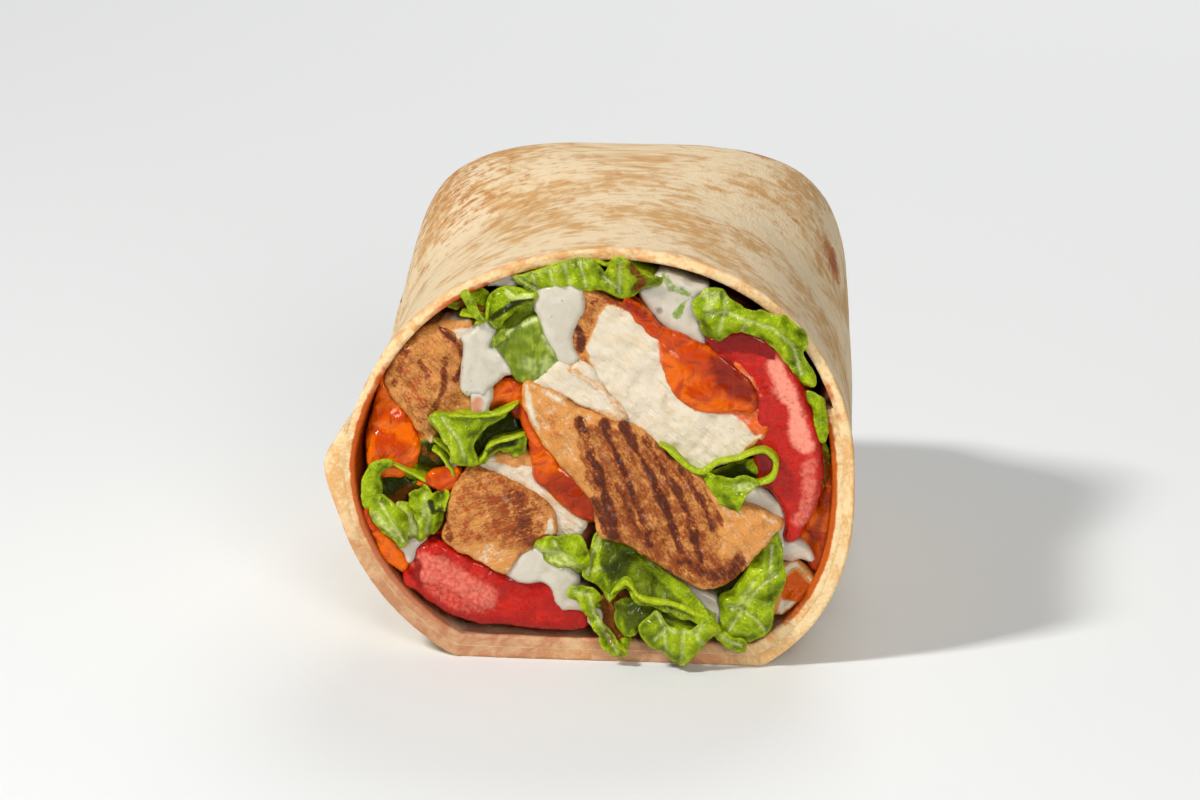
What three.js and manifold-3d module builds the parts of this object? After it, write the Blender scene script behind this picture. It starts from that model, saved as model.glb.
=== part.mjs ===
// Half of a rolled flour tortilla with its filling, lying on its side with the cut face forward.
//
// Millimetres, +Z up. The roll runs along Y: the cut is the plane y = 0, the tucked end lies at
// +Y, and X is to the right as the cut is looked at. Places in the cut are given as [x, z] and
// distances into the roll as depths. At the end of the file the whole is moved so that its
// origin is the middle of the underside of its bounding box.

import * as THREE from 'three';
import Module from 'manifold-3d';

const wasm = await Module();
wasm.setup();

const { clamp, degToRad, lerp, smoothstep } = THREE.MathUtils;

// ---------------------------------------------------------------- driving dimensions

const ROLL = {
  length: 96, // from the cut to the tucked end
  straight: 57, // length of the full section, before the roll gets lower
  halfWidth: 37,
  halfHeight: 32.5,
  axisHeight: 27.5, // height of the widest place; the roll sags flat below it
  lean: 4, // how far the crest stands to the right of the middle
  endRound: 8, // radius of the edge round the tucked end
  endWidth: 0.96, // width and height of the tucked end, as parts of the full section
  endHeight: 0.6,
  drawnIn: 0.13, // how far the right side comes in for each millimetre of depth
};

// Behind the cut the folded-in sides make the section squarer, and the filling swells it a little.
const SQUARE = { from: 30, by: 62, fullness: 1.6 };
const SWELL = { height: 1.6, depth: 45, spread: 22 };

const SHEET = {
  thickness: 1.7,
  edgeThickness: 0.7, // of the outer edge, which thins over the first part of the winding
  gap: 0.3, // between two layers of the sheet
  turn: 570, // degrees of winding, from the outer edge of the sheet to its inner edge
  start: 170, // direction of the outer edge, seen from the axis; 0 is right, 90 is up
  tuckFrom: 318, // winding at which the sheet starts to pass under its own outer edge
  step: 10, // degrees from one column of vertices to the next
};

// Just under its edge the outer layer is pinched out in a corner, most of all at the cut.
const CORNER = { turned: 10, spread: 9, height: 1.2, depth: 20, pinch: 0.9 };

const PLUG = { front: 81, end: 94.6, dish: 1.6, creaseDepth: 1.5, creaseWidth: 3 };

const FIT = {
  clearance: 0.3, // between neighbouring pieces
  back: 78.5, // depth at which the filling ends, short of the folded-in tortilla
  reach: 6, // how far a piece may stand out of the cut
  rimGap: 0.4, // between such a piece and the cut edge of the sheet
};

const LAYER = SHEET.thickness + SHEET.gap;

// Depths at which the section is worked out, between the cut and the end of the filling.
const STATIONS = [10, 22, 33, 44, 55, 63, 71];

// ---------------------------------------------------------------- closed meshes

/** Makes a manifold solid from points and from faces that look outward. */
function solidFrom(points, faces) {
  const vertProperties = new Float32Array(points.flatMap((point) => point.toArray()));
  const triVerts = new Uint32Array(faces.flat());
  return new wasm.Manifold(new wasm.Mesh({ numProp: 3, vertProperties, triVerts }));
}

/** Lofts a solid through rings of [x, z] outlines, front to back; each runs counter-clockwise. */
function loft(stations) {
  const count = stations[0].outline.length;
  const points = stations.flatMap(({ depth, outline }) =>
    outline.map(([x, z]) => new THREE.Vector3(x, depth, z)));
  const faces = [];
  for (let row = 0; row < stations.length - 1; row += 1) {
    for (let k = 0; k < count; k += 1) {
      const here = row * count + k;
      const next = row * count + ((k + 1) % count);
      faces.push([here, next + count, next], [here, here + count, next + count]);
    }
  }
  const flat = ({ outline }) => outline.map(([x, z]) => new THREE.Vector2(x, z));
  const last = (stations.length - 1) * count;
  for (const [a, b, c] of THREE.ShapeUtils.triangulateShape(flat(stations[0]), [])) {
    faces.push([a, b, c]);
  }
  for (const [a, b, c] of THREE.ShapeUtils.triangulateShape(flat(stations.at(-1)), [])) {
    faces.push([last + a, last + c, last + b]);
  }
  return solidFrom(points, faces);
}

/**
 * Makes a thin solid with two faces of columns x rows vertices, both split into triangles alike.
 * pointAt(side, i, j) gives a vertex; side 0 lies to the right of the way the columns run.
 */
function sheet(columns, rows, pointAt) {
  const points = [];
  for (const side of [0, 1]) {
    for (let i = 0; i < columns; i += 1) {
      for (let j = 0; j < rows; j += 1) {
        points.push(pointAt(side, i, j));
      }
    }
  }
  const at = (side, i, j) => (side * columns + i) * rows + j;
  const faces = [];
  for (let i = 0; i < columns - 1; i += 1) {
    for (let j = 0; j < rows - 1; j += 1) {
      faces.push([at(0, i, j), at(0, i + 1, j + 1), at(0, i + 1, j)]);
      faces.push([at(0, i, j), at(0, i, j + 1), at(0, i + 1, j + 1)]);
      faces.push([at(1, i, j), at(1, i + 1, j), at(1, i + 1, j + 1)]);
      faces.push([at(1, i, j), at(1, i + 1, j + 1), at(1, i, j + 1)]);
    }
  }
  const rim = [];
  for (let i = 0; i < columns - 1; i += 1) rim.push([i, 0]);
  for (let j = 0; j < rows - 1; j += 1) rim.push([columns - 1, j]);
  for (let i = columns - 1; i > 0; i -= 1) rim.push([i, rows - 1]);
  for (let j = rows - 1; j > 0; j -= 1) rim.push([0, j]);
  rim.forEach((place, index) => {
    const following = rim[(index + 1) % rim.length];
    faces.push([at(0, ...place), at(0, ...following), at(1, ...following)]);
    faces.push([at(0, ...place), at(1, ...following), at(1, ...place)]);
  });
  return solidFrom(points, faces);
}

// ---------------------------------------------------------------- form of the roll

/** Gives the roll's width and height at a depth, as parts of the full section, and its form. */
function taper(depth) {
  const lowered = smoothstep(depth, ROLL.straight, ROLL.length);
  const squared = smoothstep(depth, SQUARE.from, SQUARE.by);
  return {
    width: lerp(1, ROLL.endWidth, lowered),
    height: lerp(1, ROLL.endHeight, lowered),
    fuller: SQUARE.fullness * squared,
    lean: ROLL.lean * (1 - 0.5 * squared),
    swell: SWELL.height * Math.exp(-(((depth - SWELL.depth) / SWELL.spread) ** 2)),
  };
}

/** Gives the shallow dents that a hand leaves in the roll, as a distance inward. */
function dent(angle, depth) {
  return 0.3 * Math.sin(2 * angle + depth / 17) * Math.sin(depth / 11 + 1.3 * Math.sin(angle));
}

/** Gives the [x, z] of the roll's section at an angle in radians, a given way inside its skin. */
function sectionPoint(angle, depth, inset) {
  const { width, height, fuller, lean, swell } = taper(depth);
  const across = Math.cos(angle);
  const up = Math.sin(angle);
  const fullness = across > 0 && up < 0 ? 2.5 : 2;
  const power = 2 / (fullness + fuller);
  const halfWidth = ROLL.halfWidth * width - inset - dent(angle, depth);
  const halfHeight = ROLL.halfHeight * height - inset + swell;
  const crest = lean * height * Math.max(up, 0) ** 1.4;
  const x = crest + Math.sign(across) * Math.abs(across) ** power * halfWidth;
  const z = ROLL.axisHeight * height + Math.sign(up) * Math.abs(up) ** power * halfHeight;
  return [x, Math.max(z, inset)];
}

/** Gives how far inside the skin the sheet's two faces lie, outer first, after some winding. */
function sheetInsets(turned, depth) {
  const fade = Math.exp(-((depth / CORNER.depth) ** 2));
  const pinch = CORNER.pinch * fade * (1 - smoothstep(turned, 360, 390));
  const tucked = (LAYER + pinch) * smoothstep(turned, SHEET.tuckFrom, 360);
  const corner = CORNER.height * fade * Math.exp(-(((turned - CORNER.turned) / CORNER.spread) ** 2));
  const thin = (SHEET.thickness - SHEET.edgeThickness) * (1 - smoothstep(turned, 0, SHEET.step));
  return [tucked + thin - corner, tucked + SHEET.thickness - 0.3 * corner];
}

/** Places a vertex of the sheet; past the straight part the stations turn round the end edge. */
function sheetPoint(angle, { depth, turn }, inset) {
  const reach = ROLL.endRound - inset;
  const curledInset = inset + reach * (1 - Math.cos(turn));
  const curledDepth = depth + reach * Math.sin(turn);
  const [x, z] = sectionPoint(angle, curledDepth, curledInset);
  return new THREE.Vector3(x, curledDepth, z);
}

/** Makes the rolled sheet: one winding all round and half a winding more under it. */
function rolledSheet() {
  const endDepth = ROLL.length - ROLL.endRound;
  const stations = [0, ...STATIONS, 80, endDepth].map((depth) => ({ depth, turn: 0 }));
  for (const degrees of [25, 50, 75]) {
    stations.push({ depth: endDepth, turn: degToRad(degrees) });
  }
  const columns = SHEET.turn / SHEET.step + 1;
  return sheet(columns, stations.length, (side, i, j) => {
    const turned = i * SHEET.step;
    const inset = sheetInsets(turned, stations[j].depth)[side];
    return sheetPoint(degToRad(SHEET.start + turned), stations[j], inset);
  });
}

/** Makes an outline of the roll's section, inset by a distance that may differ by direction. */
function sectionOutline(depth, insetAt) {
  const outline = [];
  for (let turned = 0; turned < 360; turned += SHEET.step) {
    const degrees = (SHEET.start + turned) % 360;
    outline.push(sectionPoint(degToRad(degrees), depth, insetAt(degrees)));
  }
  return outline;
}

/** Makes the folded-in end: a plug in the sheet with a dished face and a crease across it. */
function foldedEnd() {
  const wall = 0.45 * SHEET.thickness;
  const round = ROLL.endRound - wall;
  const endDepth = ROLL.length - ROLL.endRound;
  const rings = [{ depth: PLUG.front, inset: wall }, { depth: endDepth, inset: wall }];
  for (const degrees of [25, 50]) {
    const turn = degToRad(degrees);
    rings.push({
      depth: endDepth + round * Math.sin(turn),
      inset: wall + round * (1 - Math.cos(turn)),
    });
  }
  const layerUnder = (degrees) => (degrees <= SHEET.start ? LAYER * smoothstep(degrees, 128, 170) : 0);
  const stations = rings.map(({ depth, inset }) => ({
    depth,
    outline: sectionOutline(depth, (degrees) => inset + layerUnder(degrees)),
  }));
  const face = sectionOutline(PLUG.end, () => ROLL.endRound);
  const middle = ROLL.axisHeight * ROLL.endHeight;
  const points = stations.flatMap(({ depth, outline }) =>
    outline.map(([x, z]) => new THREE.Vector3(x, depth, z)));
  for (const size of [1, 0.7, 0.35]) {
    for (const [x, z] of face) {
      const place = [x * size, middle + (z - middle) * size];
      const offCrease = (place[1] - middle - 0.12 * place[0]) / PLUG.creaseWidth;
      const crease = PLUG.creaseDepth * Math.exp(-(offCrease ** 2)) * (1 - size ** 2);
      points.push(new THREE.Vector3(place[0], PLUG.end - PLUG.dish * (1 - size) - crease, place[1]));
    }
  }
  const count = face.length;
  const rows = points.length / count;
  const centre = points.length;
  points.push(new THREE.Vector3(0, PLUG.end - PLUG.dish - PLUG.creaseDepth, middle));
  const faces = [];
  for (let k = 0; k < count; k += 1) {
    const next = (k + 1) % count;
    for (let row = 0; row < rows - 1; row += 1) {
      const [here, there] = [row * count + k, row * count + next];
      faces.push([here, there + count, there], [here, here + count, there + count]);
    }
    faces.push([centre, (rows - 1) * count + next, (rows - 1) * count + k]);
  }
  const front = stations[0].outline.map(([x, z]) => new THREE.Vector2(x, z));
  faces.push(...THREE.ShapeUtils.triangulateShape(front, []));
  return solidFrom(points, faces);
}

/** Gives how far inside the skin the filling may reach in a direction given in degrees. */
function wallInset(degrees) {
  const turnedIn = smoothstep(degrees, 122, 166);
  const turnedOut = degrees < 90 ? 1 - smoothstep(degrees, 25, 45) : 0;
  const layers = (LAYER + CORNER.pinch) * turnedIn + LAYER * turnedOut;
  const unpinched = CORNER.pinch * smoothstep(degrees, 170, 200);
  return SHEET.thickness + FIT.clearance + layers - unpinched;
}

/** Makes the space that the filling takes: the inside of the roll, or all in front of the cut. */
function room(front) {
  const depths = [front, ...STATIONS, FIT.back];
  return loft(depths.map((depth) => ({ depth, outline: sectionOutline(depth, wallInset) })));
}

function freeSpace() {
  const inside = room(-2 * FIT.rimGap);
  const before = [-FIT.reach, -FIT.rimGap].map((depth) => ({
    depth,
    outline: sectionOutline(0, () => FIT.clearance),
  }));
  return inside.add(loft(before));
}

// ---------------------------------------------------------------- makers of filling

/** Lofts an outline into the roll with its front edge rounded over. */
function runThrough(outlineAt, { front, round = 1.2, back = FIT.back }, grow) {
  const lead = front - grow;
  const middle = lerp(front, back, 0.4);
  const stations = [
    { depth: lead, outline: outlineAt(round, front) },
    { depth: lead + 0.35 * round, outline: outlineAt(0.3 * round, front) },
    { depth: lead + 1.2 * round, outline: outlineAt(0, front) },
    { depth: middle, outline: outlineAt(0, middle) },
    { depth: back + grow, outline: outlineAt(0, back) },
  ];
  return loft(stations);
}

/** Makes a blocky piece, such as a strip of chicken, with uneven sides. */
function block(spec, grow = 0) {
  const { centre, half, tilt, square = 3, rough = 0.05, seed = 0, sides = 14 } = spec;
  const turned = degToRad(tilt);
  const outlineAt = (shrink, depth) => {
    const outline = [];
    for (let k = 0; k < sides; k += 1) {
      const angle = (2 * Math.PI * k) / sides;
      const uneven = 1 + rough * Math.sin(3 * angle + seed + depth / 13)
        + 0.6 * rough * Math.sin(5 * angle - 2 * seed + depth / 7);
      const along = Math.sign(Math.cos(angle)) * Math.abs(Math.cos(angle)) ** (2 / square);
      const over = Math.sign(Math.sin(angle)) * Math.abs(Math.sin(angle)) ** (2 / square);
      const u = along * (half[0] * uneven + grow - shrink);
      const v = over * (half[1] * uneven + grow - shrink);
      const x = centre[0] + u * Math.cos(turned) - v * Math.sin(turned);
      const z = centre[1] + u * Math.sin(turned) + v * Math.cos(turned);
      outline.push([x, z]);
    }
    return outline;
  };
  return runThrough(outlineAt, spec, grow);
}

/** Makes a slice seen on edge: an arc of even radius whose thickness tapers to both ends. */
function crescent(spec, grow = 0) {
  const { centre, radius, from, to, thick, sides = 9 } = spec;
  const outlineAt = (shrink) => {
    const outer = [];
    const inner = [];
    const ease = (grow - shrink) / radius;
    for (let k = 0; k <= sides; k += 1) {
      const part = k / sides;
      const angle = lerp(degToRad(from) - ease, degToRad(to) + ease, part);
      const body = Math.sin(Math.PI * clamp(part, 0.06, 0.94)) ** 0.5;
      const halfThick = Math.max(0.5 * lerp(thick[0], thick[1], part) * body + grow - shrink, 0.2);
      for (const [side, reach] of [[outer, radius + halfThick], [inner, radius - halfThick]]) {
        side.push([centre[0] + reach * Math.cos(angle), centre[1] + reach * Math.sin(angle)]);
      }
    }
    return [...outer, ...inner.reverse()];
  };
  return runThrough(outlineAt, spec, grow);
}

/** Makes a ruffled leaf along a path in the cut; its ruffles fade into the roll. */
function leaf(spec, grow = 0) {
  const { path, front, back = FIT.back, ruffle = 0.8, waves = 2, thickness = 0.9 } = spec;
  const columns = 4 * waves + 1;
  const curve = new THREE.CatmullRomCurve3(path.map(([x, z]) => new THREE.Vector3(x, 0, z)));
  const reaches = [0, 0.04, 0.12, 0.4, 1];
  const half = thickness / 2 + grow;
  return sheet(columns, reaches.length, (side, i, j) => {
    const part = i / (columns - 1);
    const along = curve.getTangentAt(part);
    const outward = new THREE.Vector3(along.z, 0, -along.x);
    const wave = 2 * Math.PI * waves * part;
    const lead = front + 0.7 * ruffle * Math.cos(wave + 0.6) - grow;
    const depth = lerp(lead, back + grow, reaches[j]);
    const swing = ruffle * Math.sin(wave + depth / 5) * Math.exp(-Math.max(depth, 0) / 9);
    const overhang = i === 0 ? -grow : (i === columns - 1 ? grow : 0);
    const point = curve.getPointAt(part);
    point.addScaledVector(along, overhang);
    point.addScaledVector(outward, swing + (side === 0 ? half : -half));
    point.y = depth;
    return point;
  });
}

/** Makes a short pool or blob of sauce, domed at the front. */
function pool(spec, grow = 0) {
  const { centre, half, tilt = 0, front, depth = 7, sides = 10 } = spec;
  const turned = degToRad(tilt);
  const stations = [0.05, 0.35, 0.7, 1.15].map((swing) => ({
    depth: front - grow + (1 - Math.cos(swing)) * 3.2,
    size: Math.sin(swing + 0.3) / Math.sin(1.45),
  }));
  stations.push({ depth: front + depth + grow, size: 0.9 });
  return loft(stations.map(({ depth: at, size }) => {
    const outline = [];
    for (let k = 0; k < sides; k += 1) {
      const angle = (2 * Math.PI * k) / sides;
      const u = (half[0] * size + grow) * Math.cos(angle);
      const v = (half[1] * size + grow) * Math.sin(angle);
      const x = centre[0] + u * Math.cos(turned) - v * Math.sin(turned);
      const z = centre[1] + u * Math.sin(turned) + v * Math.cos(turned);
      outline.push([x, z]);
    }
    return { depth: at, outline };
  }));
}

/** Joins several pools into one body of sauce. */
function pools(spec, grow = 0) {
  return spec.lumps.map((lump) => pool(lump, grow)).reduce((whole, lump) => whole.add(lump));
}

// ---------------------------------------------------------------- what lies in the roll

const FINISH = {
  tortilla: { color: '#e6c590', roughness: 0.7 },
  chicken: { color: '#e9d9bb', roughness: 0.55 },
  browned: { color: '#b3703a', roughness: 0.5 },
  tomato: { color: '#c8281c', roughness: 0.25 },
  lettuce: { color: '#7fae2c', roughness: 0.45 },
  celery: { color: '#8fb548', roughness: 0.35 },
  buffalo: { color: '#c9500c', roughness: 0.15 },
  ranch: { color: '#e9e7de', roughness: 0.3 },
};

// Pieces are cut in this order, each by all that come before it.
const PIECES = [
  {
    name: 'breast_slice', finish: 'chicken', make: block,
    centre: [10.2, 40.6], half: [14, 7.4], tilt: -35, front: -1.2, square: 3.6, seed: 0.4,
  },
  {
    name: 'grilled_strip', finish: 'browned', make: block,
    centre: [6.6, 26.2], half: [18.2, 6.9], tilt: -36, front: -3, square: 3.4, seed: 2.1,
  },
  {
    name: 'browned_chunk', finish: 'browned', make: block,
    centre: [-14.2, 19.3], half: [8.4, 6.2], tilt: -35, front: -2, square: 3, seed: 4,
  },
  {
    name: 'tucked_strip', finish: 'chicken', make: block,
    centre: [-7.6, 26.2], half: [7.5, 3], tilt: -33, front: 0.6, square: 2.6, seed: 1,
  },
  {
    name: 'corner_chunk', finish: 'browned', make: block,
    centre: [-22.4, 39.4], half: [7.2, 5.4], tilt: -58, front: 0.4, square: 2.8, seed: 5.2,
  },
  {
    name: 'edge_piece', finish: 'browned', make: block,
    centre: [28.6, 13.4], half: [3.2, 4.6], tilt: 12, front: 0.6, square: 2.4, rough: 0.1, seed: 3,
  },
  {
    name: 'tomato_side', finish: 'tomato', make: crescent,
    centre: [11.8, 30.8], radius: 17, from: -40, to: 66, thick: [6.4, 7.6], front: -1.2,
  },
  {
    name: 'tomato_base', finish: 'tomato', make: crescent,
    centre: [-4, 44.6], radius: 36.4, from: 234, to: 273, thick: [8.4, 5.2], front: -0.8,
  },
  {
    name: 'celery_piece', finish: 'celery', make: block,
    centre: [-9.2, 45.4], half: [3.3, 3.9], tilt: 28, front: -1, square: 4, seed: 1.7, sides: 12,
  },
  {
    name: 'lettuce_crest', finish: 'lettuce', make: leaf, waves: 3, ruffle: 0.6, front: -1.6,
    path: [[-13, 53.4], [-6, 55.5], [2, 56.8], [10.5, 55.6]],
  },
  {
    name: 'lettuce_corner', finish: 'lettuce', make: leaf, waves: 2, ruffle: 0.7, front: -1.4,
    path: [[-19.5, 49.6], [-16.5, 51.4], [-13.4, 50.4], [-10, 51.8]],
  },
  {
    name: 'lettuce_side', finish: 'lettuce', make: leaf, waves: 3, ruffle: 0.7, front: -1.8,
    path: [[14.5, 52], [20.8, 51.4], [27.6, 46.4], [31.2, 40], [33.2, 32]],
  },
  {
    name: 'lettuce_cup', finish: 'lettuce', make: leaf, waves: 2, ruffle: 0.5, front: -1.2,
    path: [[-25, 33.2], [-21, 28.8], [-17, 27.6], [-13.6, 30], [-11.4, 33.2]],
  },
  {
    name: 'lettuce_left', finish: 'lettuce', make: leaf, waves: 2, ruffle: 0.6, front: -0.8,
    path: [[-27, 27], [-30.4, 25], [-30, 20], [-27, 17], [-24.6, 19.6], [-25, 23]],
  },
  {
    name: 'lettuce_under', finish: 'lettuce', make: leaf, waves: 2, ruffle: 0.5, front: -2.4,
    path: [[-8, 15], [-2, 15.6], [4.6, 12.4], [11, 8.2], [17, 6.8]],
  },
  {
    name: 'lettuce_fringe', finish: 'lettuce', make: leaf, waves: 3, ruffle: 0.8, front: -4,
    path: [[-3.4, 9.4], [1.4, 5.6], [6, 5.2], [11, 3.8], [16, 4.4]], back: 60,
  },
  {
    name: 'lettuce_base', finish: 'lettuce', make: leaf, waves: 2, ruffle: 0.7, front: -2,
    path: [[26.4, 21.4], [26, 15.4], [23.8, 9.4], [19.4, 5.4]],
  },
  {
    name: 'lettuce_curl', finish: 'lettuce', make: leaf, waves: 2, ruffle: 0.3, front: -2.4, back: 40,
    path: [[12.5, 31], [16.4, 28.6], [20.4, 29.6], [24.2, 31]],
  },
  {
    name: 'buffalo_left', finish: 'buffalo', make: pool,
    centre: [-28.2, 31.6], half: [4.2, 4.6], front: 0.4, depth: 9,
  },
  {
    name: 'buffalo_middle', finish: 'buffalo', make: pools,
    lumps: [
      { centre: [-10.4, 38.8], half: [3.6, 2.6], tilt: -40, front: -0.6 },
      { centre: [-7, 33.6], half: [4.6, 2.7], tilt: -62, front: -1 },
      { centre: [-3.6, 27], half: [4.8, 2.6], tilt: -48, front: -1.6 },
    ],
  },
  {
    name: 'buffalo_slice', finish: 'buffalo', make: pool,
    centre: [17, 42.6], half: [7, 4.2], tilt: -30, front: -3, depth: 5,
  },
  {
    name: 'buffalo_side', finish: 'buffalo', make: pool,
    centre: [31.2, 21.4], half: [2, 5], tilt: -6, front: 0.6, depth: 9,
  },
];

// The dressing takes what is left of the room; the tomato and the lettuce part it in two.
const RANCH = {
  names: ['ranch_dressing', 'ranch_side'],
  front: 3,
  lumps: [
    { centre: [-4.4, 48.8], half: [4.2, 5.6], front: 0 },
    { centre: [-15.4, 43.4], half: [2.6, 6], front: -0.4 },
    { centre: [11.6, 50.4], half: [5.6, 3.2], tilt: -18, front: 0.4 },
    { centre: [-5.6, 10], half: [5, 4.6], front: -0.6 },
    { centre: [25, 22.4], half: [3, 4.4], front: -0.4 },
    { centre: [-21.8, 15.4], half: [3.4, 3], front: 0.4 },
  ],
};

// ---------------------------------------------------------------- assembly

/** Splits a solid that cutting may have left in several bodies, largest first. */
function bodiesOf(solid) {
  return solid.decompose().sort((a, b) => b.volume() - a.volume());
}

/** Draws the right side of the roll in towards the tucked end, while the left side stays. */
function drawIn(vertices) {
  for (let at = 0; at < vertices.length; at += 3) {
    const share = (vertices[at] + ROLL.halfWidth) / (2 * ROLL.halfWidth);
    vertices[at] -= ROLL.drawnIn * share * vertices[at + 1];
  }
  return vertices;
}

/** Turns a solid into a named mesh with one of the finishes. */
function namedMesh(name, solid, finish) {
  const { vertProperties, triVerts } = solid.getMesh();
  const geometry = new THREE.BufferGeometry();
  geometry.setAttribute('position', new THREE.BufferAttribute(drawIn(vertProperties), 3));
  geometry.setIndex(new THREE.BufferAttribute(triVerts, 1));
  geometry.computeVertexNormals();
  const mesh = new THREE.Mesh(geometry, new THREE.MeshStandardMaterial(FINISH[finish]));
  mesh.name = name;
  return mesh;
}

/** Cuts each piece of filling by those before it, and the dressing by them all. */
function makeFilling() {
  const space = freeSpace();
  const meshes = [];
  let taken = null;
  for (const piece of PIECES) {
    let solid = piece.make(piece).intersect(space);
    if (taken) solid = solid.subtract(taken);
    meshes.push(namedMesh(piece.name, bodiesOf(solid)[0], piece.finish));
    const grown = piece.make(piece, FIT.clearance);
    taken = taken ? taken.add(grown) : grown;
  }
  const dressing = room(RANCH.front).add(pools(RANCH)).intersect(space).subtract(taken);
  RANCH.names.forEach((name, index) => {
    meshes.push(namedMesh(name, bodiesOf(dressing)[index], 'ranch'));
  });
  return meshes;
}

const wrap = new THREE.Group();
wrap.add(namedMesh('tortilla', rolledSheet().add(foldedEnd()), 'tortilla'));
wrap.add(...makeFilling());

const box = new THREE.Box3().setFromObject(wrap);
const centre = box.getCenter(new THREE.Vector3());
wrap.position.set(-centre.x, -centre.y, -box.min.z);

export default wrap;
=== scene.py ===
"""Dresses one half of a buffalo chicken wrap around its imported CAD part.

The roll lies along +Y with its cut face to the front. Shapes are worked out in millimetres in the
roll's own axes, x to the right, depth into the roll from the cut, z up, and are moved into the
frame in metres when a piece is made. Outlines on the cut face are given where they are seen in the
plane of the cut from the camera, and each is moved along the line of sight to its own depth.
"""

import logging
import math
from dataclasses import dataclass, field
from enum import Enum
from typing import Callable, ClassVar, Optional, Sequence, Union

import bmesh
import bpy
import numpy as np
from mathutils import Matrix, Vector, geometry


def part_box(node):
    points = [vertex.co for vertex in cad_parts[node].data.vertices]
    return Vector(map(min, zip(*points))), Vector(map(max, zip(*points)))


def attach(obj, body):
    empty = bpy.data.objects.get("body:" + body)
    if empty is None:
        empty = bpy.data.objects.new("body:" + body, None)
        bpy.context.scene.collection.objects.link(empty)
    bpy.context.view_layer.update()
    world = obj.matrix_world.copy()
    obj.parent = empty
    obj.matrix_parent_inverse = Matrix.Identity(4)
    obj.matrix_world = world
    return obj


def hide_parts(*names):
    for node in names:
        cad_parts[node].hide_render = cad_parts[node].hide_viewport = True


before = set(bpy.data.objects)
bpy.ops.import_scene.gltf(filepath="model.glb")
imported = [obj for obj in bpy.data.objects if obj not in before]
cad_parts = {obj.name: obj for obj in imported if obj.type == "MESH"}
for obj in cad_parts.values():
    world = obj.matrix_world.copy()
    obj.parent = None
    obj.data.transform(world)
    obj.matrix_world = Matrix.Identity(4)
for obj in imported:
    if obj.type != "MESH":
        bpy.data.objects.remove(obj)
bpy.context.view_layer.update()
LOG = logging.getLogger("wrap")

Point = tuple[float, float]
Path = Sequence[Point]
Place = tuple[float, float, float]
Colour = tuple[float, float, float, float]

EYE = np.array([159.7, -1066.3, 332.5])  # the camera, in the roll's axes
YAW = math.radians(6.6)  # turn of the roll from the camera's heading
PITCH = math.radians(15.1)  # how far the camera looks down

TINY = 1e-12  # keeps a division by a length from failing
FLOOR_GAP = 0.02  # the lowest that a piece comes, in millimetres above the floor
CELL_MIX = (73856093, 19349663, 83492791)  # odd numbers that mix a cell's place into one number
SEED_MIX = (40503, 12345)  # the same for the seed
STIR = (1274126177, 2246822519)  # odd numbers that stir the mixed number
WORD = 0xFFFFFFFF  # the stirring keeps 32 bits
TOP = 0xFFFFFF  # and the result has 24 of them


class Slot(Enum):
    """Names of material slots."""

    TORTILLA = "tortilla"
    CHICKEN = "chicken"
    BROWNED = "browned_chicken"
    TOMATO = "tomato"
    CELERY = "celery"
    LETTUCE = "lettuce"
    BUFFALO = "buffalo_sauce"
    RANCH = "ranch_dressing"


# ------------------------------------------------------------------ numbers


def smooth(values: np.ndarray, low: float, high: float) -> np.ndarray:
    """Gives 0 below low, 1 above high and an even rise in between."""
    part = np.clip((values - low) / (high - low), 0.0, 1.0)
    return part * part * (3.0 - 2.0 * part)


def bell(values: np.ndarray, middle: float, width: float, power: int = 2) -> np.ndarray:
    """Gives 1 at the middle and less to both sides, with a flatter top for a higher power."""
    return np.exp(-(((values - middle) / width) ** power))


def lattice(cells: np.ndarray, seed: int) -> np.ndarray:
    """Gives each cell of a grid its own number between -1 and 1.

    Args:
        cells: whole numbers, one row of three for each cell.
        seed: picks one of many sets of numbers.

    Returns:
        One number for each row.
    """
    mixed = cells[:, 0] * CELL_MIX[0] ^ cells[:, 1] * CELL_MIX[1] ^ cells[:, 2] * CELL_MIX[2]
    mixed = (mixed ^ (seed * SEED_MIX[0] + SEED_MIX[1])) & WORD
    mixed = ((mixed ^ (mixed >> 13)) * STIR[0]) & WORD
    mixed = ((mixed ^ (mixed >> 16)) * STIR[1]) & WORD
    return ((mixed ^ (mixed >> 15)) & TOP) / (0.5 * TOP) - 1.0


def value_noise(places: np.ndarray, seed: int) -> np.ndarray:
    """Gives smooth noise between -1 and 1 with features one unit wide.

    Args:
        places: points, one row of three each.
        seed: picks one of many noises.

    Returns:
        One number for each point.
    """
    base = np.floor(places).astype(np.int64)
    part = places - base
    part = part * part * (3.0 - 2.0 * part)
    total = np.zeros(len(places))
    for corner in range(8):
        step = np.array([corner & 1, corner >> 1 & 1, corner >> 2 & 1])
        weight = np.prod(np.where(step, part, 1.0 - part), axis=1)
        total += weight * lattice(base + step, seed)
    return total


def fbm(places: np.ndarray, size: float, octaves: int = 3, seed: int = 0) -> np.ndarray:
    """Gives layered noise of about -1 to 1.

    Args:
        places: points in millimetres, one row of three each.
        size: width of the broadest features.
        octaves: number of layers, each half as wide and half as strong.
        seed: picks one of many noises.

    Returns:
        One number for each point.
    """
    total = np.zeros(len(places))
    for layer in range(octaves):
        finer = 2.0**layer
        total += value_noise(places / size * finer + 17.3 * layer, seed + layer) / finer
    return total / 1.5


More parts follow.
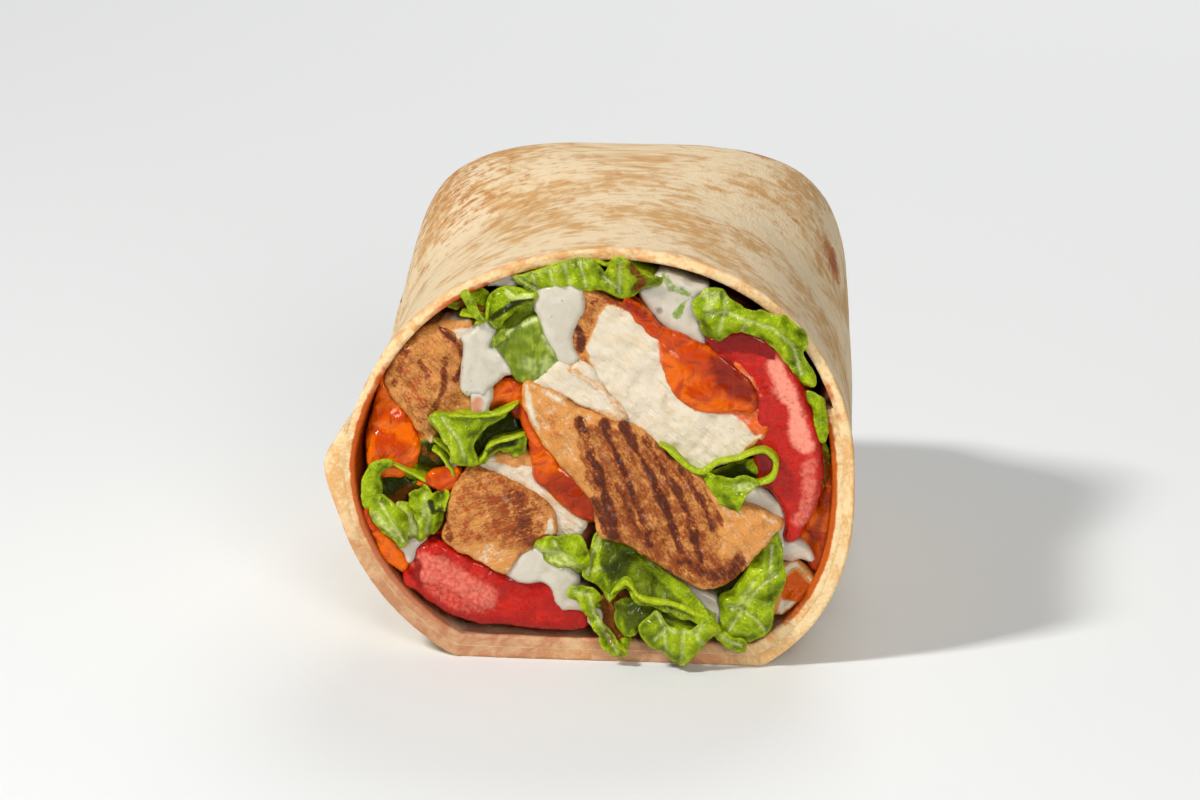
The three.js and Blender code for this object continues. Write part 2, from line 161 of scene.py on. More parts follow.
def curve_through(points: Path, step: float, closed: bool = True) -> np.ndarray:
    """Runs a smooth curve through points and samples it evenly.

    Args:
        points: places the curve passes through.
        step: distance between samples.
        closed: whether the curve returns to its first point.

    Returns:
        The samples, one row of two each.
    """
    knots = np.array(points, float)
    if closed:
        knots = np.vstack([knots[-1], knots, knots[:2]])
    else:
        knots = np.vstack([2 * knots[0] - knots[1], knots, 2 * knots[-1] - knots[-2]])
    part = np.linspace(0, 1, 12, endpoint=False)[:, None]
    pieces = []
    for a, b, c, d in zip(knots[:-3], knots[1:-2], knots[2:-1], knots[3:]):
        bend = (2 * a - 5 * b + 4 * c - d) * part**2 + (3 * b - a - 3 * c + d) * part**3
        pieces.append(b + 0.5 * ((c - a) * part + bend))
    fine = np.vstack(pieces + ([pieces[0][:1]] if closed else [knots[-2:-1]]))
    length = np.concatenate([[0], np.cumsum(np.linalg.norm(np.diff(fine, axis=0), axis=1))])
    count = max(int(length[-1] / step), 4)
    wanted = np.linspace(0, length[-1], count, endpoint=not closed)
    return np.stack([np.interp(wanted, length, fine[:, k]) for k in (0, 1)], axis=1)


def distance_to(points: np.ndarray, line: np.ndarray, closed: bool) -> np.ndarray:
    """Gives how far each point is from a line of straight parts.

    Args:
        points: places, one row of two each.
        line: the line's corners, one row of two each.
        closed: whether the line returns to its first corner.

    Returns:
        One distance for each point.
    """
    starts = line if closed else line[:-1]
    spans = (np.roll(line, -1, axis=0) if closed else line[1:]) - starts[: len(line)]
    best = np.full(len(points), 1e9)
    for start, span in zip(starts, spans):
        away = points - start
        along = np.clip((away @ span) / max(float(span @ span), TINY), 0.0, 1.0)
        best = np.minimum(best, np.sum((away - along[:, None] * span) ** 2, axis=1))
    return np.sqrt(best)


def inside(points: np.ndarray, loop: np.ndarray) -> np.ndarray:
    """Says of each point whether it is in a closed loop."""
    within = np.zeros(len(points), bool)
    for (x0, z0), (x1, z1) in zip(loop, np.roll(loop, -1, axis=0)):
        if z0 == z1:
            continue
        crosses = (z0 > points[:, 1]) != (z1 > points[:, 1])
        within ^= crosses & (points[:, 0] < x0 + (points[:, 1] - z0) * (x1 - x0) / (z1 - z0))
    return within


def sighted(seen: np.ndarray, depth: Union[float, np.ndarray]) -> np.ndarray:
    """Moves places seen in the plane of the cut along the line of sight to a depth.

    Args:
        seen: places in the cut plane, one row of two each.
        depth: how far behind the cut plane they really are.

    Returns:
        Their x and z at that depth, one row of two each.
    """
    share = np.asarray(depth, float) / -EYE[1]
    return seen + (seen - EYE[[0, 2]]) * (share[:, None] if share.ndim else share)


# ------------------------------------------------------------------ meshes


@dataclass
class Solid:
    """A triangle mesh in roll millimetres with one number or more for each vertex.

    Attributes:
        points: vertices, one row of three each.
        faces: triangles, one row of three vertex numbers each.
        seen: where each vertex is seen in the plane of the cut, one row of two each.
        rim: distance of each vertex from the outline, in millimetres.
        masks: named numbers for the shaders, one for each vertex.
        grain: coordinates for the shaders' textures; the points themselves if it is None.
    """

    points: np.ndarray
    faces: np.ndarray
    seen: np.ndarray
    rim: np.ndarray
    masks: dict[str, np.ndarray] = field(default_factory=dict)
    grain: Optional[np.ndarray] = None

    def normals(self) -> np.ndarray:
        """Gives the direction in which the surface faces at each vertex."""
        a, b, c = (self.points[self.faces[:, k]] for k in range(3))
        facing = np.cross(b - a, c - a)
        total = np.zeros_like(self.points)
        for k in range(3):
            np.add.at(total, self.faces[:, k], facing)
        return total / np.maximum(np.linalg.norm(total, axis=1), TINY)[:, None]

    def roughen(self, amount: float, size: float, seed: int, octaves: int = 3) -> "Solid":
        """Pushes the surface in and out by noise.

        Args:
            amount: greatest way in or out, in millimetres.
            size: width of the broadest bumps.
            seed: picks one of many noises.
            octaves: number of layers of noise.

        Returns:
            The solid itself.
        """
        if amount:
            bumps = fbm(self.points, size, octaves, seed) * amount
            self.points = self.points + self.normals() * bumps[:, None]
        return self

    def joined(self, others: Sequence["Solid"]) -> "Solid":
        """Puts this solid and others together as one mesh of several shells."""
        parts = [self, *others]
        offsets = np.cumsum([0] + [len(part.points) for part in parts[:-1]])
        names = sorted({name for part in parts for name in part.masks})
        blank = [np.zeros(len(part.points)) for part in parts]
        return Solid(
            points=np.vstack([part.points for part in parts]),
            faces=np.vstack([part.faces + start for part, start in zip(parts, offsets)]),
            seen=np.vstack([part.seen for part in parts]),
            rim=np.concatenate([part.rim for part in parts]),
            masks={
                name: np.concatenate([p.masks.get(name, b) for p, b in zip(parts, blank)])
                for name in names
            },
            grain=np.vstack([p.points if p.grain is None else p.grain for p in parts]),
        )


@dataclass(frozen=True)
class Mark:
    """A line or an area painted on a piece.

    Attributes:
        mask: name of the mask it adds to.
        path: the line, or the outline of the area, as seen in the plane of the cut.
        width: half the width of the line, or of the soft edge of the area, in millimetres.
        strength: how strongly it shows, 1 being full.
        ragged: how far its edge wanders, in millimetres.
        area: whether the path encloses an area.
    """

    mask: str
    path: Path
    width: float = 0.6
    strength: float = 1.0
    ragged: float = 0.4
    area: bool = False

    def paint(self, solid: Solid, seed: int) -> None:
        """Adds the mark to the solid's mask."""
        line = np.array(self.path, float)
        away = distance_to(solid.seen, line, self.area)
        if self.area:
            away = np.where(inside(solid.seen, line), -away, away) + self.width
            away = away - 0.8 * bell(solid.rim, 0.0, 0.5)
        places = np.column_stack([solid.seen, solid.points[:, 1] * 0.3])
        away = away + self.ragged * fbm(places, 2.2, 3, seed)
        shade = self.strength * (1.0 - smooth(away, 0.45 * self.width, 1.55 * self.width))
        before = solid.masks.get(self.mask, np.zeros(len(shade)))
        solid.masks[self.mask] = np.maximum(before, shade)


def strip_faces(rows: int, columns: int, wrap: bool) -> np.ndarray:
    """Gives the triangles of a grid of vertices numbered row by row.

    Args:
        rows: number of rows.
        columns: number of vertices in a row.
        wrap: whether the last vertex of a row joins the first.

    Returns:
        Triangles, one row of three vertex numbers each.
    """
    across = np.arange(columns if wrap else columns - 1)
    start = np.arange(rows - 1)[:, None] * columns
    a = (start + across).ravel()
    b = (start + (across + 1) % columns).ravel()
    return np.vstack([np.column_stack([a, b, b + columns]), np.column_stack([a, b + columns, a + columns])])


def ladder(near: np.ndarray, far: np.ndarray, depth: np.ndarray) -> np.ndarray:
    """Joins two chains of vertices that run side by side towards smaller depths.

    Args:
        near: vertices of one chain.
        far: vertices of the other.
        depth: depth of every vertex.

    Returns:
        Triangles between them, one row each.
    """
    faces = []
    i = j = 0
    while i < len(near) - 1 or j < len(far) - 1:
        if j == len(far) - 1 or (i < len(near) - 1 and depth[near[i + 1]] > depth[far[j + 1]]):
            faces.append((near[i], far[j], near[i + 1]))
            i += 1
        else:
            faces.append((near[i], far[j], far[j + 1]))
            j += 1
    return np.array(faces)


@dataclass(frozen=True)
class Slab:
    """A piece with a front face of a given outline that runs back into the roll.

    Attributes:
        outline: its edge as seen in the plane of the cut, counter-clockwise.
        front: depth of the front face.
        back: depth at which it ends.
        edge: radius of the rounded edge of the front.
        dome: how far the middle of the front stands out, and over what distance it rises.
        tilt: how much deeper the front gets for each millimetre to the right and up.
        lumps: height and width of the bumps on the front.
        step: distance between vertices.
        shrink: part of its size that is lost towards the back.
        ragged: how far the edge wanders.
        grain: direction of the grain in degrees, 0 being along x.
        marks: what is painted on it.
        seed: picks its noises.
        grow: how far it reaches under its neighbours, past the outline that is seen.
        fibre: height of the ridges along its grain.
    """

    outline: Path
    front: float
    back: float = 14.0
    edge: float = 1.0
    dome: tuple[float, float] = (0.0, 4.0)
    tilt: Point = (0.0, 0.0)
    lumps: tuple[float, float] = (0.25, 3.0)
    step: float = 0.34
    shrink: float = 0.15
    ragged: float = 0.15
    grain: float = 0.0
    marks: tuple[Mark, ...] = ()
    seed: int = 1
    grow: float = 0.3
    fibre: float = 0.0

    def face(self) -> tuple[np.ndarray, np.ndarray, np.ndarray, int]:
        """Fills the outline with triangles.

        Returns:
            The places, the first of them along the outline; the triangles; for each place its
            distance from the outline; and how many places are on the outline.
        """
        loop = curve_through(self.outline, self.step)
        following = np.roll(loop, -1, axis=0)
        if np.sum(loop[:, 0] * following[:, 1] - following[:, 0] * loop[:, 1]) < 0:
            loop = loop[::-1]
        along = np.roll(loop, -1, axis=0) - np.roll(loop, 1, axis=0)
        along /= np.linalg.norm(along, axis=1)[:, None]
        loop = loop + self.grow * np.column_stack([along[:, 1], -along[:, 0]])
        flat = np.column_stack([loop, np.zeros(len(loop))])
        loop = loop + self.ragged * np.column_stack([
            fbm(flat, 1.6, 3, self.seed + 40), fbm(flat, 1.6, 3, self.seed + 50)])
        low, high = loop.min(0), loop.max(0)
        rows = np.arange(low[1], high[1], 0.866 * self.step)
        lines = [np.arange(low[0] + 0.5 * self.step * (k % 2), high[0], self.step) for k in range(len(rows))]
        grid = np.vstack([np.column_stack([line, np.full(len(line), z)]) for line, z in zip(lines, rows)])
        grid = grid[inside(grid, loop)]
        grid = grid[distance_to(grid, loop, True) > 0.6 * self.step]
        places = [Vector(place) for place in np.vstack([loop, grid])]
        ring = [list(range(len(loop)))]
        verts, _, faces, origins, _, _ = geometry.delaunay_2d_cdt(places, [], ring, 1, 1e-6)
        made = np.array([tuple(v) for v in verts])
        order = {source: k for k, sources in enumerate(origins) for source in sources}
        first = [order[k] for k in range(len(loop))]
        rest = [k for k in range(len(made)) if k not in set(first)]
        lookup = np.zeros(len(made), int)
        lookup[first + rest] = np.arange(len(made))
        made = made[first + rest]
        return made, lookup[np.array(faces)], distance_to(made, made[: len(first)], True), len(first)

    def relief(self, seen: np.ndarray, away: np.ndarray) -> np.ndarray:
        """Gives the depth of the front face at places that lie some way from the outline."""
        middle = seen.mean(0)
        flat = np.column_stack([seen, np.zeros(len(seen))])
        rounding = self.edge - np.sqrt(np.maximum(
            self.edge**2 - (self.edge - np.minimum(away, self.edge)) ** 2, 0.0))
        height, over = self.dome
        turned = math.radians(self.grain)
        threads = np.column_stack([
            0.3 * (seen[:, 0] * math.cos(turned) + seen[:, 1] * math.sin(turned)),
            1.3 * (seen[:, 1] * math.cos(turned) - seen[:, 0] * math.sin(turned)),
            np.zeros(len(seen))])
        return (
            self.front
            + self.fibre * fbm(threads, 1.3, 3, self.seed + 20)
            + rounding
            + (seen - middle) @ np.array(self.tilt)
            + height * bell(away, 0.0, over)
            + self.lumps[0] * fbm(flat, self.lumps[1], 4, self.seed)
        )

    def build(self) -> Solid:
        """Makes the solid, with its marks painted.

        Returns:
            A closed solid.
        """
        seen, faces, away, count = self.face()
        depth = self.relief(seen, away)
        shift = sighted(seen, self.front) - seen
        ring = seen[:count]
        middle = ring.mean(0)
        points = [np.column_stack([seen[:, 0] + shift[:, 0], depth, seen[:, 1] + shift[:, 1]])]
        seens = [seen]
        rims = [away]
        stages = (0.06, 0.16, 0.3, 0.5, 0.75, 1.0)
        for stage in stages:
            size = 1.0 - self.shrink * stage**1.5
            moved = middle + (ring - middle) * size + shift[:count]
            depths = depth[:count] + stage * (self.back - depth[:count])
            points.append(np.column_stack([moved[:, 0], depths, moved[:, 1]]))
            seens.append(ring)
            rims.append(np.zeros(count))
        total = len(seen)
        base = np.arange(count)
        starts = [base] + [total + k * count + base for k in range(len(stages))]
        walls = []
        for near, far in zip(starts[:-1], starts[1:]):
            near_next, far_next = np.roll(near, -1), np.roll(far, -1)
            walls.append(np.column_stack([near, far_next, near_next]))
            walls.append(np.column_stack([near, far, far_next]))
        last = starts[-1]
        hub = total + len(stages) * count
        points.append(np.array([[*(middle + shift.mean(0)), self.back]])[:, [0, 2, 1]])
        seens.append(middle[None])
        rims.append(np.zeros(1))
        closing = np.column_stack([np.full(count, hub), np.roll(last, -1), last])
        solid = Solid(
            points=np.vstack(points),
            faces=np.vstack([faces, *walls, closing]),
            seen=np.vstack(seens),
            rim=np.concatenate(rims),
        )
        solid.masks["side"] = np.concatenate([np.zeros(total), np.ones(len(solid.points) - total)])
        turned = math.radians(self.grain)
        x, y, z = solid.points.T
        solid.grain = np.column_stack([
            x * math.cos(turned) + z * math.sin(turned),
            y,
            z * math.cos(turned) - x * math.sin(turned)])
        for number, mark in enumerate(self.marks):
            mark.paint(solid, self.seed * 7 + number)
        return solid


@dataclass(frozen=True)
class Leaf(Slab):
    """A thin leaf that faces the front, its middle between two wavy faces.

    Attributes:
        thickness: of the leaf.
        ruffle: height and width of its waves.
        curl: how far its edge bends back.
        ribs: its veins, as seen in the plane of the cut.
        ragged: how far its edge wanders.
        pillow: how far it bulges between its small creases.
    """

    thickness: float = 0.38
    ruffle: tuple[float, float] = (0.8, 3.0)
    curl: float = 0.8
    ribs: tuple[Path, ...] = ()
    ragged: float = 0.32
    pillow: float = 0.9

    def relief(self, seen: np.ndarray, away: np.ndarray) -> np.ndarray:
        """Gives the depth of the leaf's front at places that lie some way from the outline."""
        middle = seen.mean(0)
        flat = np.column_stack([seen, np.zeros(len(seen))])
        height, width = self.ruffle
        wave = fbm(flat, width, 2, self.seed) * height
        frill = fbm(flat, 0.5 * width, 2, self.seed + 9) * height * 1.3 * np.exp(-away / 1.2)
        quilt = 0.12 * fbm(flat, 1.2, 3, self.seed + 5)
        quilt = quilt - self.pillow * np.abs(fbm(flat, 2.4, 2, self.seed + 11))
        for rib in self.ribs:
            near = distance_to(seen, np.array(rib, float), False)
            quilt = quilt + 0.3 * bell(near, 0.0, 0.35) - 0.22 * bell(near, 1.0, 0.6)
        bent = self.curl * bell(away, 0.0, 0.9)
        return self.front + (seen - middle) @ np.array(self.tilt) + wave + frill + quilt + bent

    def build(self) -> Solid:
        """Makes the leaf as a thin closed solid, with its marks painted.

        Returns:
            A closed solid.
        """
        seen, faces, away, count = self.face()
        depth = self.relief(seen, away)
        shift = sighted(seen, self.front) - seen
        half = 0.5 * self.thickness * np.sqrt(np.clip(away / 0.3, 0.3, 1.0))
        x, z = (seen + shift).T
        front = np.column_stack([x, depth - half, z])
        rear = np.column_stack([x, depth + half, z])
        total = len(seen)
        near = np.arange(count)
        far = near + total
        rim = np.vstack([
            np.column_stack([near, np.roll(far, -1), np.roll(near, -1)]),
            np.column_stack([near, far, np.roll(far, -1)])])
        solid = Solid(
            points=np.vstack([front, rear]),
            faces=np.vstack([faces, faces[:, ::-1] + total, rim]),
            seen=np.vstack([seen, seen]),
            rim=np.concatenate([away, away]),
        )
        # Painted highlight along the leaf's rim, in the edge mask.
        solid.masks["edge"] = bell(solid.rim, 0.0, 0.3)
        vein = np.zeros(2 * total)
        for rib in self.ribs:
            near_rib = distance_to(solid.seen, np.array(rib, float), False)
            vein = np.maximum(vein, bell(near_rib, 0.0, 0.22))
        solid.masks["rib"] = vein
        # Painted shade: the fold mask is high where the leaf lies deeper than its mean and low where it
        # stands out.
        level = depth - (seen - seen.mean(0)) @ np.array(self.tilt) - self.front
        spread = max(float(level.std()), 0.05)
        solid.masks["fold"] = np.tile(smooth((level - level.mean()) / spread, -1.6, 1.8), 2)
        for number, mark in enumerate(self.marks):
            mark.paint(solid, self.seed * 7 + number)
        return solid


@dataclass(frozen=True)
class Frill:
    """A thin leaf seen on its edge, running back into the roll along a path.

    Attributes:
        path: where its front edge is seen in the plane of the cut.
        front: depth of its front edge.
        back: depth at which it ends.
        width: its thickness at the front edge.
        wave: height and length of the waves of its front edge.
        seed: picks its noises.
    """

    path: Path
    front: float
    back: float = 10.0
    width: float = 0.9
    wave: tuple[float, float] = (0.5, 4.0)
    seed: int = 1

    def build(self) -> Solid:
        """Makes the frill as a closed solid with a rounded front edge.

        Returns:
            A closed solid.
        """
        line = curve_through(self.path, 0.3, False)
        along = np.gradient(line, axis=0)
        along /= np.linalg.norm(along, axis=1)[:, None]
        across = np.column_stack([along[:, 1], -along[:, 0]])
        count = len(line)
        turn = np.linspace(-90, 90, 7)
        profile = [(math.sin(math.radians(t)), 1 - math.cos(math.radians(t))) for t in turn]
        reach = self.back - self.front
        rows = [(-0.6, reach), (-0.8, 0.5 * reach), (-1.0, 2.0), *profile]
        rows += [(1.0, 2.0), (0.8, 0.5 * reach), (0.6, reach)]
        flat = np.column_stack([line, np.zeros(count)])
        lead = self.wave[0] * fbm(flat, self.wave[1], 2, self.seed)
        half = 0.5 * self.width * (1 + 0.35 * fbm(flat, 2.0, 2, self.seed + 3))
        part = np.linspace(0, 1, count)
        half = half * np.sqrt(np.clip(np.minimum(part, 1 - part) / 0.08, 0.12, 1.0))
        grid = []
        for side, depth in rows:
            y = self.front + lead + (depth * self.width * 0.5 if depth <= 1 else depth)
            swing = 0.35 * fbm(np.column_stack([line, y]), 3.0, 2, self.seed + 6)
            place = line + across * (side * half + swing)[:, None]
            place = sighted(place, self.front)
            grid.append(np.column_stack([place[:, 0], y, place[:, 1]]))
        points = np.vstack(grid)
        faces = [strip_faces(len(rows), count, False)]
        first, last = np.arange(count), np.arange(count) + (len(rows) - 1) * count
        faces.append(np.column_stack([first[:-1], last[1:], first[1:]]))
        faces.append(np.column_stack([first[:-1], last[:-1], last[1:]]))
        for end, flip in ((0, False), (count - 1, True)):
            ring = np.arange(len(rows)) * count + end
            fan = np.column_stack([np.full(len(ring) - 2, ring[0]), ring[2:], ring[1:-1]])
            faces.append(fan[:, ::-1] if flip else fan)
        solid = Solid(
            points=points,
            faces=np.vstack(faces),
            seen=np.tile(line, (len(rows), 1)),
            rim=np.zeros(len(points)),
        )
        # Painted highlight on the front edge, fading within about a millimetre further in.
        solid.masks["edge"] = bell(np.maximum(points[:, 1] - self.front, 0), 0.0, 1.2)
        solid.masks["rib"] = np.zeros(len(points))
        return solid


Parts = tuple[Union[Slab, Frill], ...]


# ------------------------------------------------------------------ shaders


def srgb(red: float, green: float, blue: float) -> Colour:
    """Turns a display colour, 0 to 255, into a linear one."""
    parts = [value / 255.0 for value in (red, green, blue)]
    linear = [p / 12.92 if p <= 0.04045 else ((p + 0.055) / 1.055) ** 2.4 for p in parts]
    return (linear[0], linear[1], linear[2], 1.0)


class Value:
    """A number, vector or colour in a shader that can be used in sums."""

    def __init__(self, graph: "Graph", socket: bpy.types.NodeSocket) -> None:
        """Wraps an output socket of a graph."""
        self.graph = graph
        self.socket = socket

    def _sum(self, operation: str, first: "Input", second: "Input") -> "Value":
        """Makes the node that works out one operation on two inputs."""
        wide = any(
            isinstance(one, tuple) or (isinstance(one, Value) and one.socket.type in ("VECTOR", "RGBA"))
            for one in (first, second))
        kind = "ShaderNodeVectorMath" if wide else "ShaderNodeMath"
        return self.graph.node(kind, {"operation": operation}, {0: first, 1: second})

    @staticmethod
    def operator(operation: str, turned: bool = False) -> Callable[["Value", "Input"], "Value"]:
        """Makes the method for an operator; turned puts the value last."""
        if turned:
            return lambda value, other: value._sum(operation, other, value)
        return lambda value, other: value._sum(operation, value, other)

    __add__ = operator("ADD")
    __radd__ = operator("ADD", True)
    __sub__ = operator("SUBTRACT")
    __rsub__ = operator("SUBTRACT", True)
    __mul__ = operator("MULTIPLY")
    __rmul__ = operator("MULTIPLY", True)


Input = Union[Value, float, tuple]


class Graph:
    """A material's node tree, written as expressions."""

    def __init__(self, name: str) -> None:
        """Starts a material with a surface shader and nothing feeding it."""
        self.material = bpy.data.materials.new(name)
        self.material.use_nodes = True
        self.tree = self.material.node_tree
        self.tree.nodes.clear()
        self.surface = self.tree.nodes.new("ShaderNodeBsdfPrincipled")
        output = self.tree.nodes.new("ShaderNodeOutputMaterial")
        self.tree.links.new(self.surface.outputs[0], output.inputs[0])

    def feed(self, socket: bpy.types.NodeSocket, value: Input) -> None:
        """Links a value to a socket, or sets the socket to a constant."""
        if isinstance(value, Value):
            self.tree.links.new(value.socket, socket)
        elif isinstance(value, tuple):
            socket.default_value = value[: len(socket.default_value)]
        elif socket.type in ("VECTOR", "RGBA"):
            socket.default_value = [value] * len(socket.default_value)
        else:
            socket.default_value = value

    def node(self, kind: str, settings: dict, inputs: dict, output: Union[int, str] = 0) -> Value:
        """Adds a node.

        Args:
            kind: Blender's name of the node type.
            settings: properties to set first.
            inputs: values or links by the socket's name or number.
            output: name or number of the output wanted.

        Returns:
            That output.
        """
        made = self.tree.nodes.new(kind)
        for name, value in settings.items():
            setattr(made, name, value)
        for name, value in inputs.items():
            self.feed(made.inputs[name], value)
        return Value(self, made.outputs[output])

    def mask(self, name: str) -> Value:
        """Reads one of the piece's masks."""
        return self.node("ShaderNodeAttribute", {"attribute_name": name}, {}, "Fac")

    def grain(self) -> Value:
        """Reads the piece's texture coordinates, in millimetres."""
        return self.node("ShaderNodeAttribute", {"attribute_name": "grain"}, {}, "Vector")

    def noise(self, at: Input, scale: float, detail: float = 3.0, warp: float = 0.0) -> Value:
        """Gives noise between 0 and 1 whose features are about 1 / scale wide."""
        inputs = {"Vector": at, "Scale": scale, "Detail": detail, "Distortion": warp}
        return self.node("ShaderNodeTexNoise", {}, inputs)

    def spread(self, at: Input, scale: float, detail: float = 3.0, warp: float = 0.0) -> Value:
        """Gives the same noise drawn out so that it reaches both 0 and 1."""
        return self.rise(self.noise(at, scale, detail, warp), 0.3, 0.7)

    def cells(self, at: Input, scale: float, feature: str = "F1") -> Value:
        """Gives the distance to the nearest of many scattered points, or to the cells' edges."""
        inputs = {"Vector": at, "Scale": scale}
        return self.node("ShaderNodeTexVoronoi", {"feature": feature}, inputs, "Distance")

    def rise(self, value: Input, low: float, high: float) -> Value:
        """Gives 0 where value is below low, 1 above high and an even rise in between."""
        inputs = {0: value, 1: low, 2: high}
        return self.node("ShaderNodeMapRange", {"interpolation_type": "SMOOTHSTEP"}, inputs)

    def blend(self, share: Input, first: Input, second: Input) -> Value:
        """Mixes two colours; share 0 gives the first and 1 the second."""
        settings = {"data_type": "RGBA", "clamp_factor": True}
        return self.node("ShaderNodeMix", settings, {0: share, 6: first, 7: second}, 2)

    def close(
        self,
        colour: Input,
        roughness: Input,
        height: Input,
        depth: float,
        look: Optional[dict[str, Input]] = None,
    ) -> bpy.types.Material:
        """Feeds the surface shader.

        Args:
            colour: base colour.
            roughness: how rough the surface is.
            height: bumps, 0 to 1.
            depth: how high a bump of 1 is, in millimetres.
            look: constants for the shader's other sockets.

        Returns:
            The material.
        """
        self.feed(self.surface.inputs["Base Color"], colour)
        self.feed(self.surface.inputs["Roughness"], roughness)
        bump = self.node("ShaderNodeBump", {}, {"Distance": depth / 1000.0, "Height": height})
        self.feed(self.surface.inputs["Normal"], bump)
        for name, value in (look or {}).items():
            self.feed(self.surface.inputs[name], value)
        return self.material


def flesh(weight: float, red: float, green: float, blue: float) -> dict[str, Input]:
    """Gives the constants of light that spreads under a surface, its reach in millimetres."""
    return {
        "Subsurface Weight": weight,
        "Subsurface Radius": (red, green, blue),
        "Subsurface Scale": 0.001,
    }


def gloss(shine: float, coat: float, blur: float) -> dict[str, Input]:
    """Gives the constants of a surface's own shine and of a clear wet coat over it."""
    return {"Specular IOR Level": shine, "Coat Weight": coat, "Coat Roughness": blur}


@dataclass(frozen=True)
class BakedFlour:
    """The tortilla: cream with tan clouds and brown blisters, stained by the sauce near the cut."""

    cream: Colour = srgb(234, 210, 171)
    tan: Colour = srgb(206, 158, 98)
    brown: Colour = srgb(188, 122, 70)
    blister: Colour = srgb(146, 80, 40)
    crumb: Colour = srgb(240, 210, 160)
    golden: Colour = srgb(226, 174, 112)
    lip: Colour = srgb(214, 136, 72)
    sauce: Colour = srgb(190, 84, 14)
    deep: Colour = srgb(118, 26, 0)
    grease: Colour = srgb(178, 118, 86)

    def material(self) -> bpy.types.Material:
        """Makes the material; grain is way round, depth and inset."""
        g = Graph("tortilla")
        at = g.grain()
        cloud = g.spread(at, 0.08, 2.0)
        mottle = g.spread(at, 0.45, 4.0, 0.6)
        streak = g.spread(at * (0.28, 0.9, 0.5), 1.0, 4.0, 0.4)
        dash = g.spread(at * (0.45, 1.5, 1.0), 1.0, 3.0, 0.3)
        flour = g.spread(at, 2.0, 4.0)
        blotch = 0.45 * cloud + 0.3 * mottle + 0.25 * streak
        colour = g.blend(g.rise(blotch, 0.3, 0.85), self.cream, self.tan)
        toast = g.mask("toast")
        scorch = 0.6 * dash + 0.3 * mottle + 0.1 * flour + 0.45 * toast
        colour = g.blend(g.rise(scorch, 0.82, 1.15) * 0.75, colour, self.brown)
        scorch = 0.6 * dash + 0.4 * flour + 0.3 * toast
        colour = g.blend(g.rise(scorch, 1.0, 1.25) * 0.6, colour, self.blister)
        spot = g.mask("spot") + 0.25 * mottle + 0.2 * flour
        colour = g.blend(g.rise(spot, 0.55, 0.9), colour, self.brown)
        colour = g.blend(g.rise(spot, 0.85, 1.3), colour, self.blister)
        cut = g.mask("cut")
        bake = g.rise(0.35 * g.spread(at, 0.16, 2.0) + 0.35 * mottle + 0.3 * flour, 0.3, 0.8)
        colour = g.blend(cut, colour, g.blend(bake, self.crumb, self.golden))
        colour = g.blend(g.mask("lip") * g.rise(mottle, 0.0, 0.8), colour, self.lip)
        stain = g.mask("stain")
        colour = g.blend(g.rise(stain + 0.3 * mottle, 0.3, 0.9), colour, self.sauce)
        colour = g.blend(g.rise(g.mask("deep") + 0.25 * mottle, 0.35, 1.0), colour, self.deep)
        colour = g.blend(g.mask("grease") * (0.7 + 0.3 * mottle), colour, self.grease)
        roughness = 0.72 - 0.4 * stain - 0.25 * g.mask("grease")
        height = 0.3 * flour + 0.2 * streak * (1.0 - cut) + 0.25 * mottle
        look = {**flesh(0.15, 1.6, 1.0, 0.6), "Specular IOR Level": 0.2}
        return g.close(colour, roughness, height, 0.2, look)


@dataclass(frozen=True)
class CookedMeat:
    """Chicken: pale and fibrous inside, browned and charred outside, with sauce on it."""

    pale: Colour = srgb(220, 207, 184)
    beige: Colour = srgb(213, 190, 152)
    tan: Colour = srgb(215, 147, 74)
    brown: Colour = srgb(148, 68, 18)
    char: Colour = srgb(88, 36, 12)
    spice: Colour = srgb(182, 64, 16)
    sauce: Colour = srgb(216, 88, 2)

    def material(self) -> bpy.types.Material:
        """Makes the material; the grain runs along the first coordinate."""
        g = Graph("chicken")
        at = g.grain()
        fibre = g.spread(at * (0.35, 0.8, 1.9), 1.0, 4.0, 0.5)
        grit = g.spread(at * (1.0, 1.0, 1.5), 2.3, 4.0, 0.4)
        clump = g.spread(at, 0.6, 3.0, 0.3)
        rough = 0.4 * clump + 0.35 * grit + 0.25 * fibre
        colour = g.blend(g.rise(0.4 * fibre + 0.45 * clump + 0.15 * grit, 0.35, 1.1), self.pale, self.beige)
        heat = g.mask("brown") * (0.5 + rough)
        colour = g.blend(g.rise(heat, 0.16, 0.42), colour, self.tan)
        colour = g.blend(g.rise(heat, 0.45, 1.1), colour, self.brown)
        grains = g.rise(0.5 * grit + 0.5 * clump, 0.55, 0.8)
        colour = g.blend(g.mask("spice") * grains * 0.7, colour, self.spice)
        char = g.mask("char") * (0.15 + 1.6 * rough)
        colour = g.blend(g.rise(char, 0.15, 0.6), colour, self.brown)
        colour = g.blend(g.rise(char, 0.45, 1.0), colour, self.char)
        sauce = g.mask("sauce")
        colour = g.blend(g.rise(sauce + 0.4 * rough - 0.2, 0.2, 0.8), colour, self.sauce)
        roughness = 0.5 - 0.28 * sauce - 0.1 * g.mask("brown")
        height = 0.2 * fibre + 0.25 * clump + grit * (0.08 + 0.3 * g.mask("brown"))
        look = {**flesh(0.1, 1.6, 0.9, 0.5), **gloss(0.2, 0.15, 0.18)}
        return g.close(colour, roughness, height, 0.38, look)


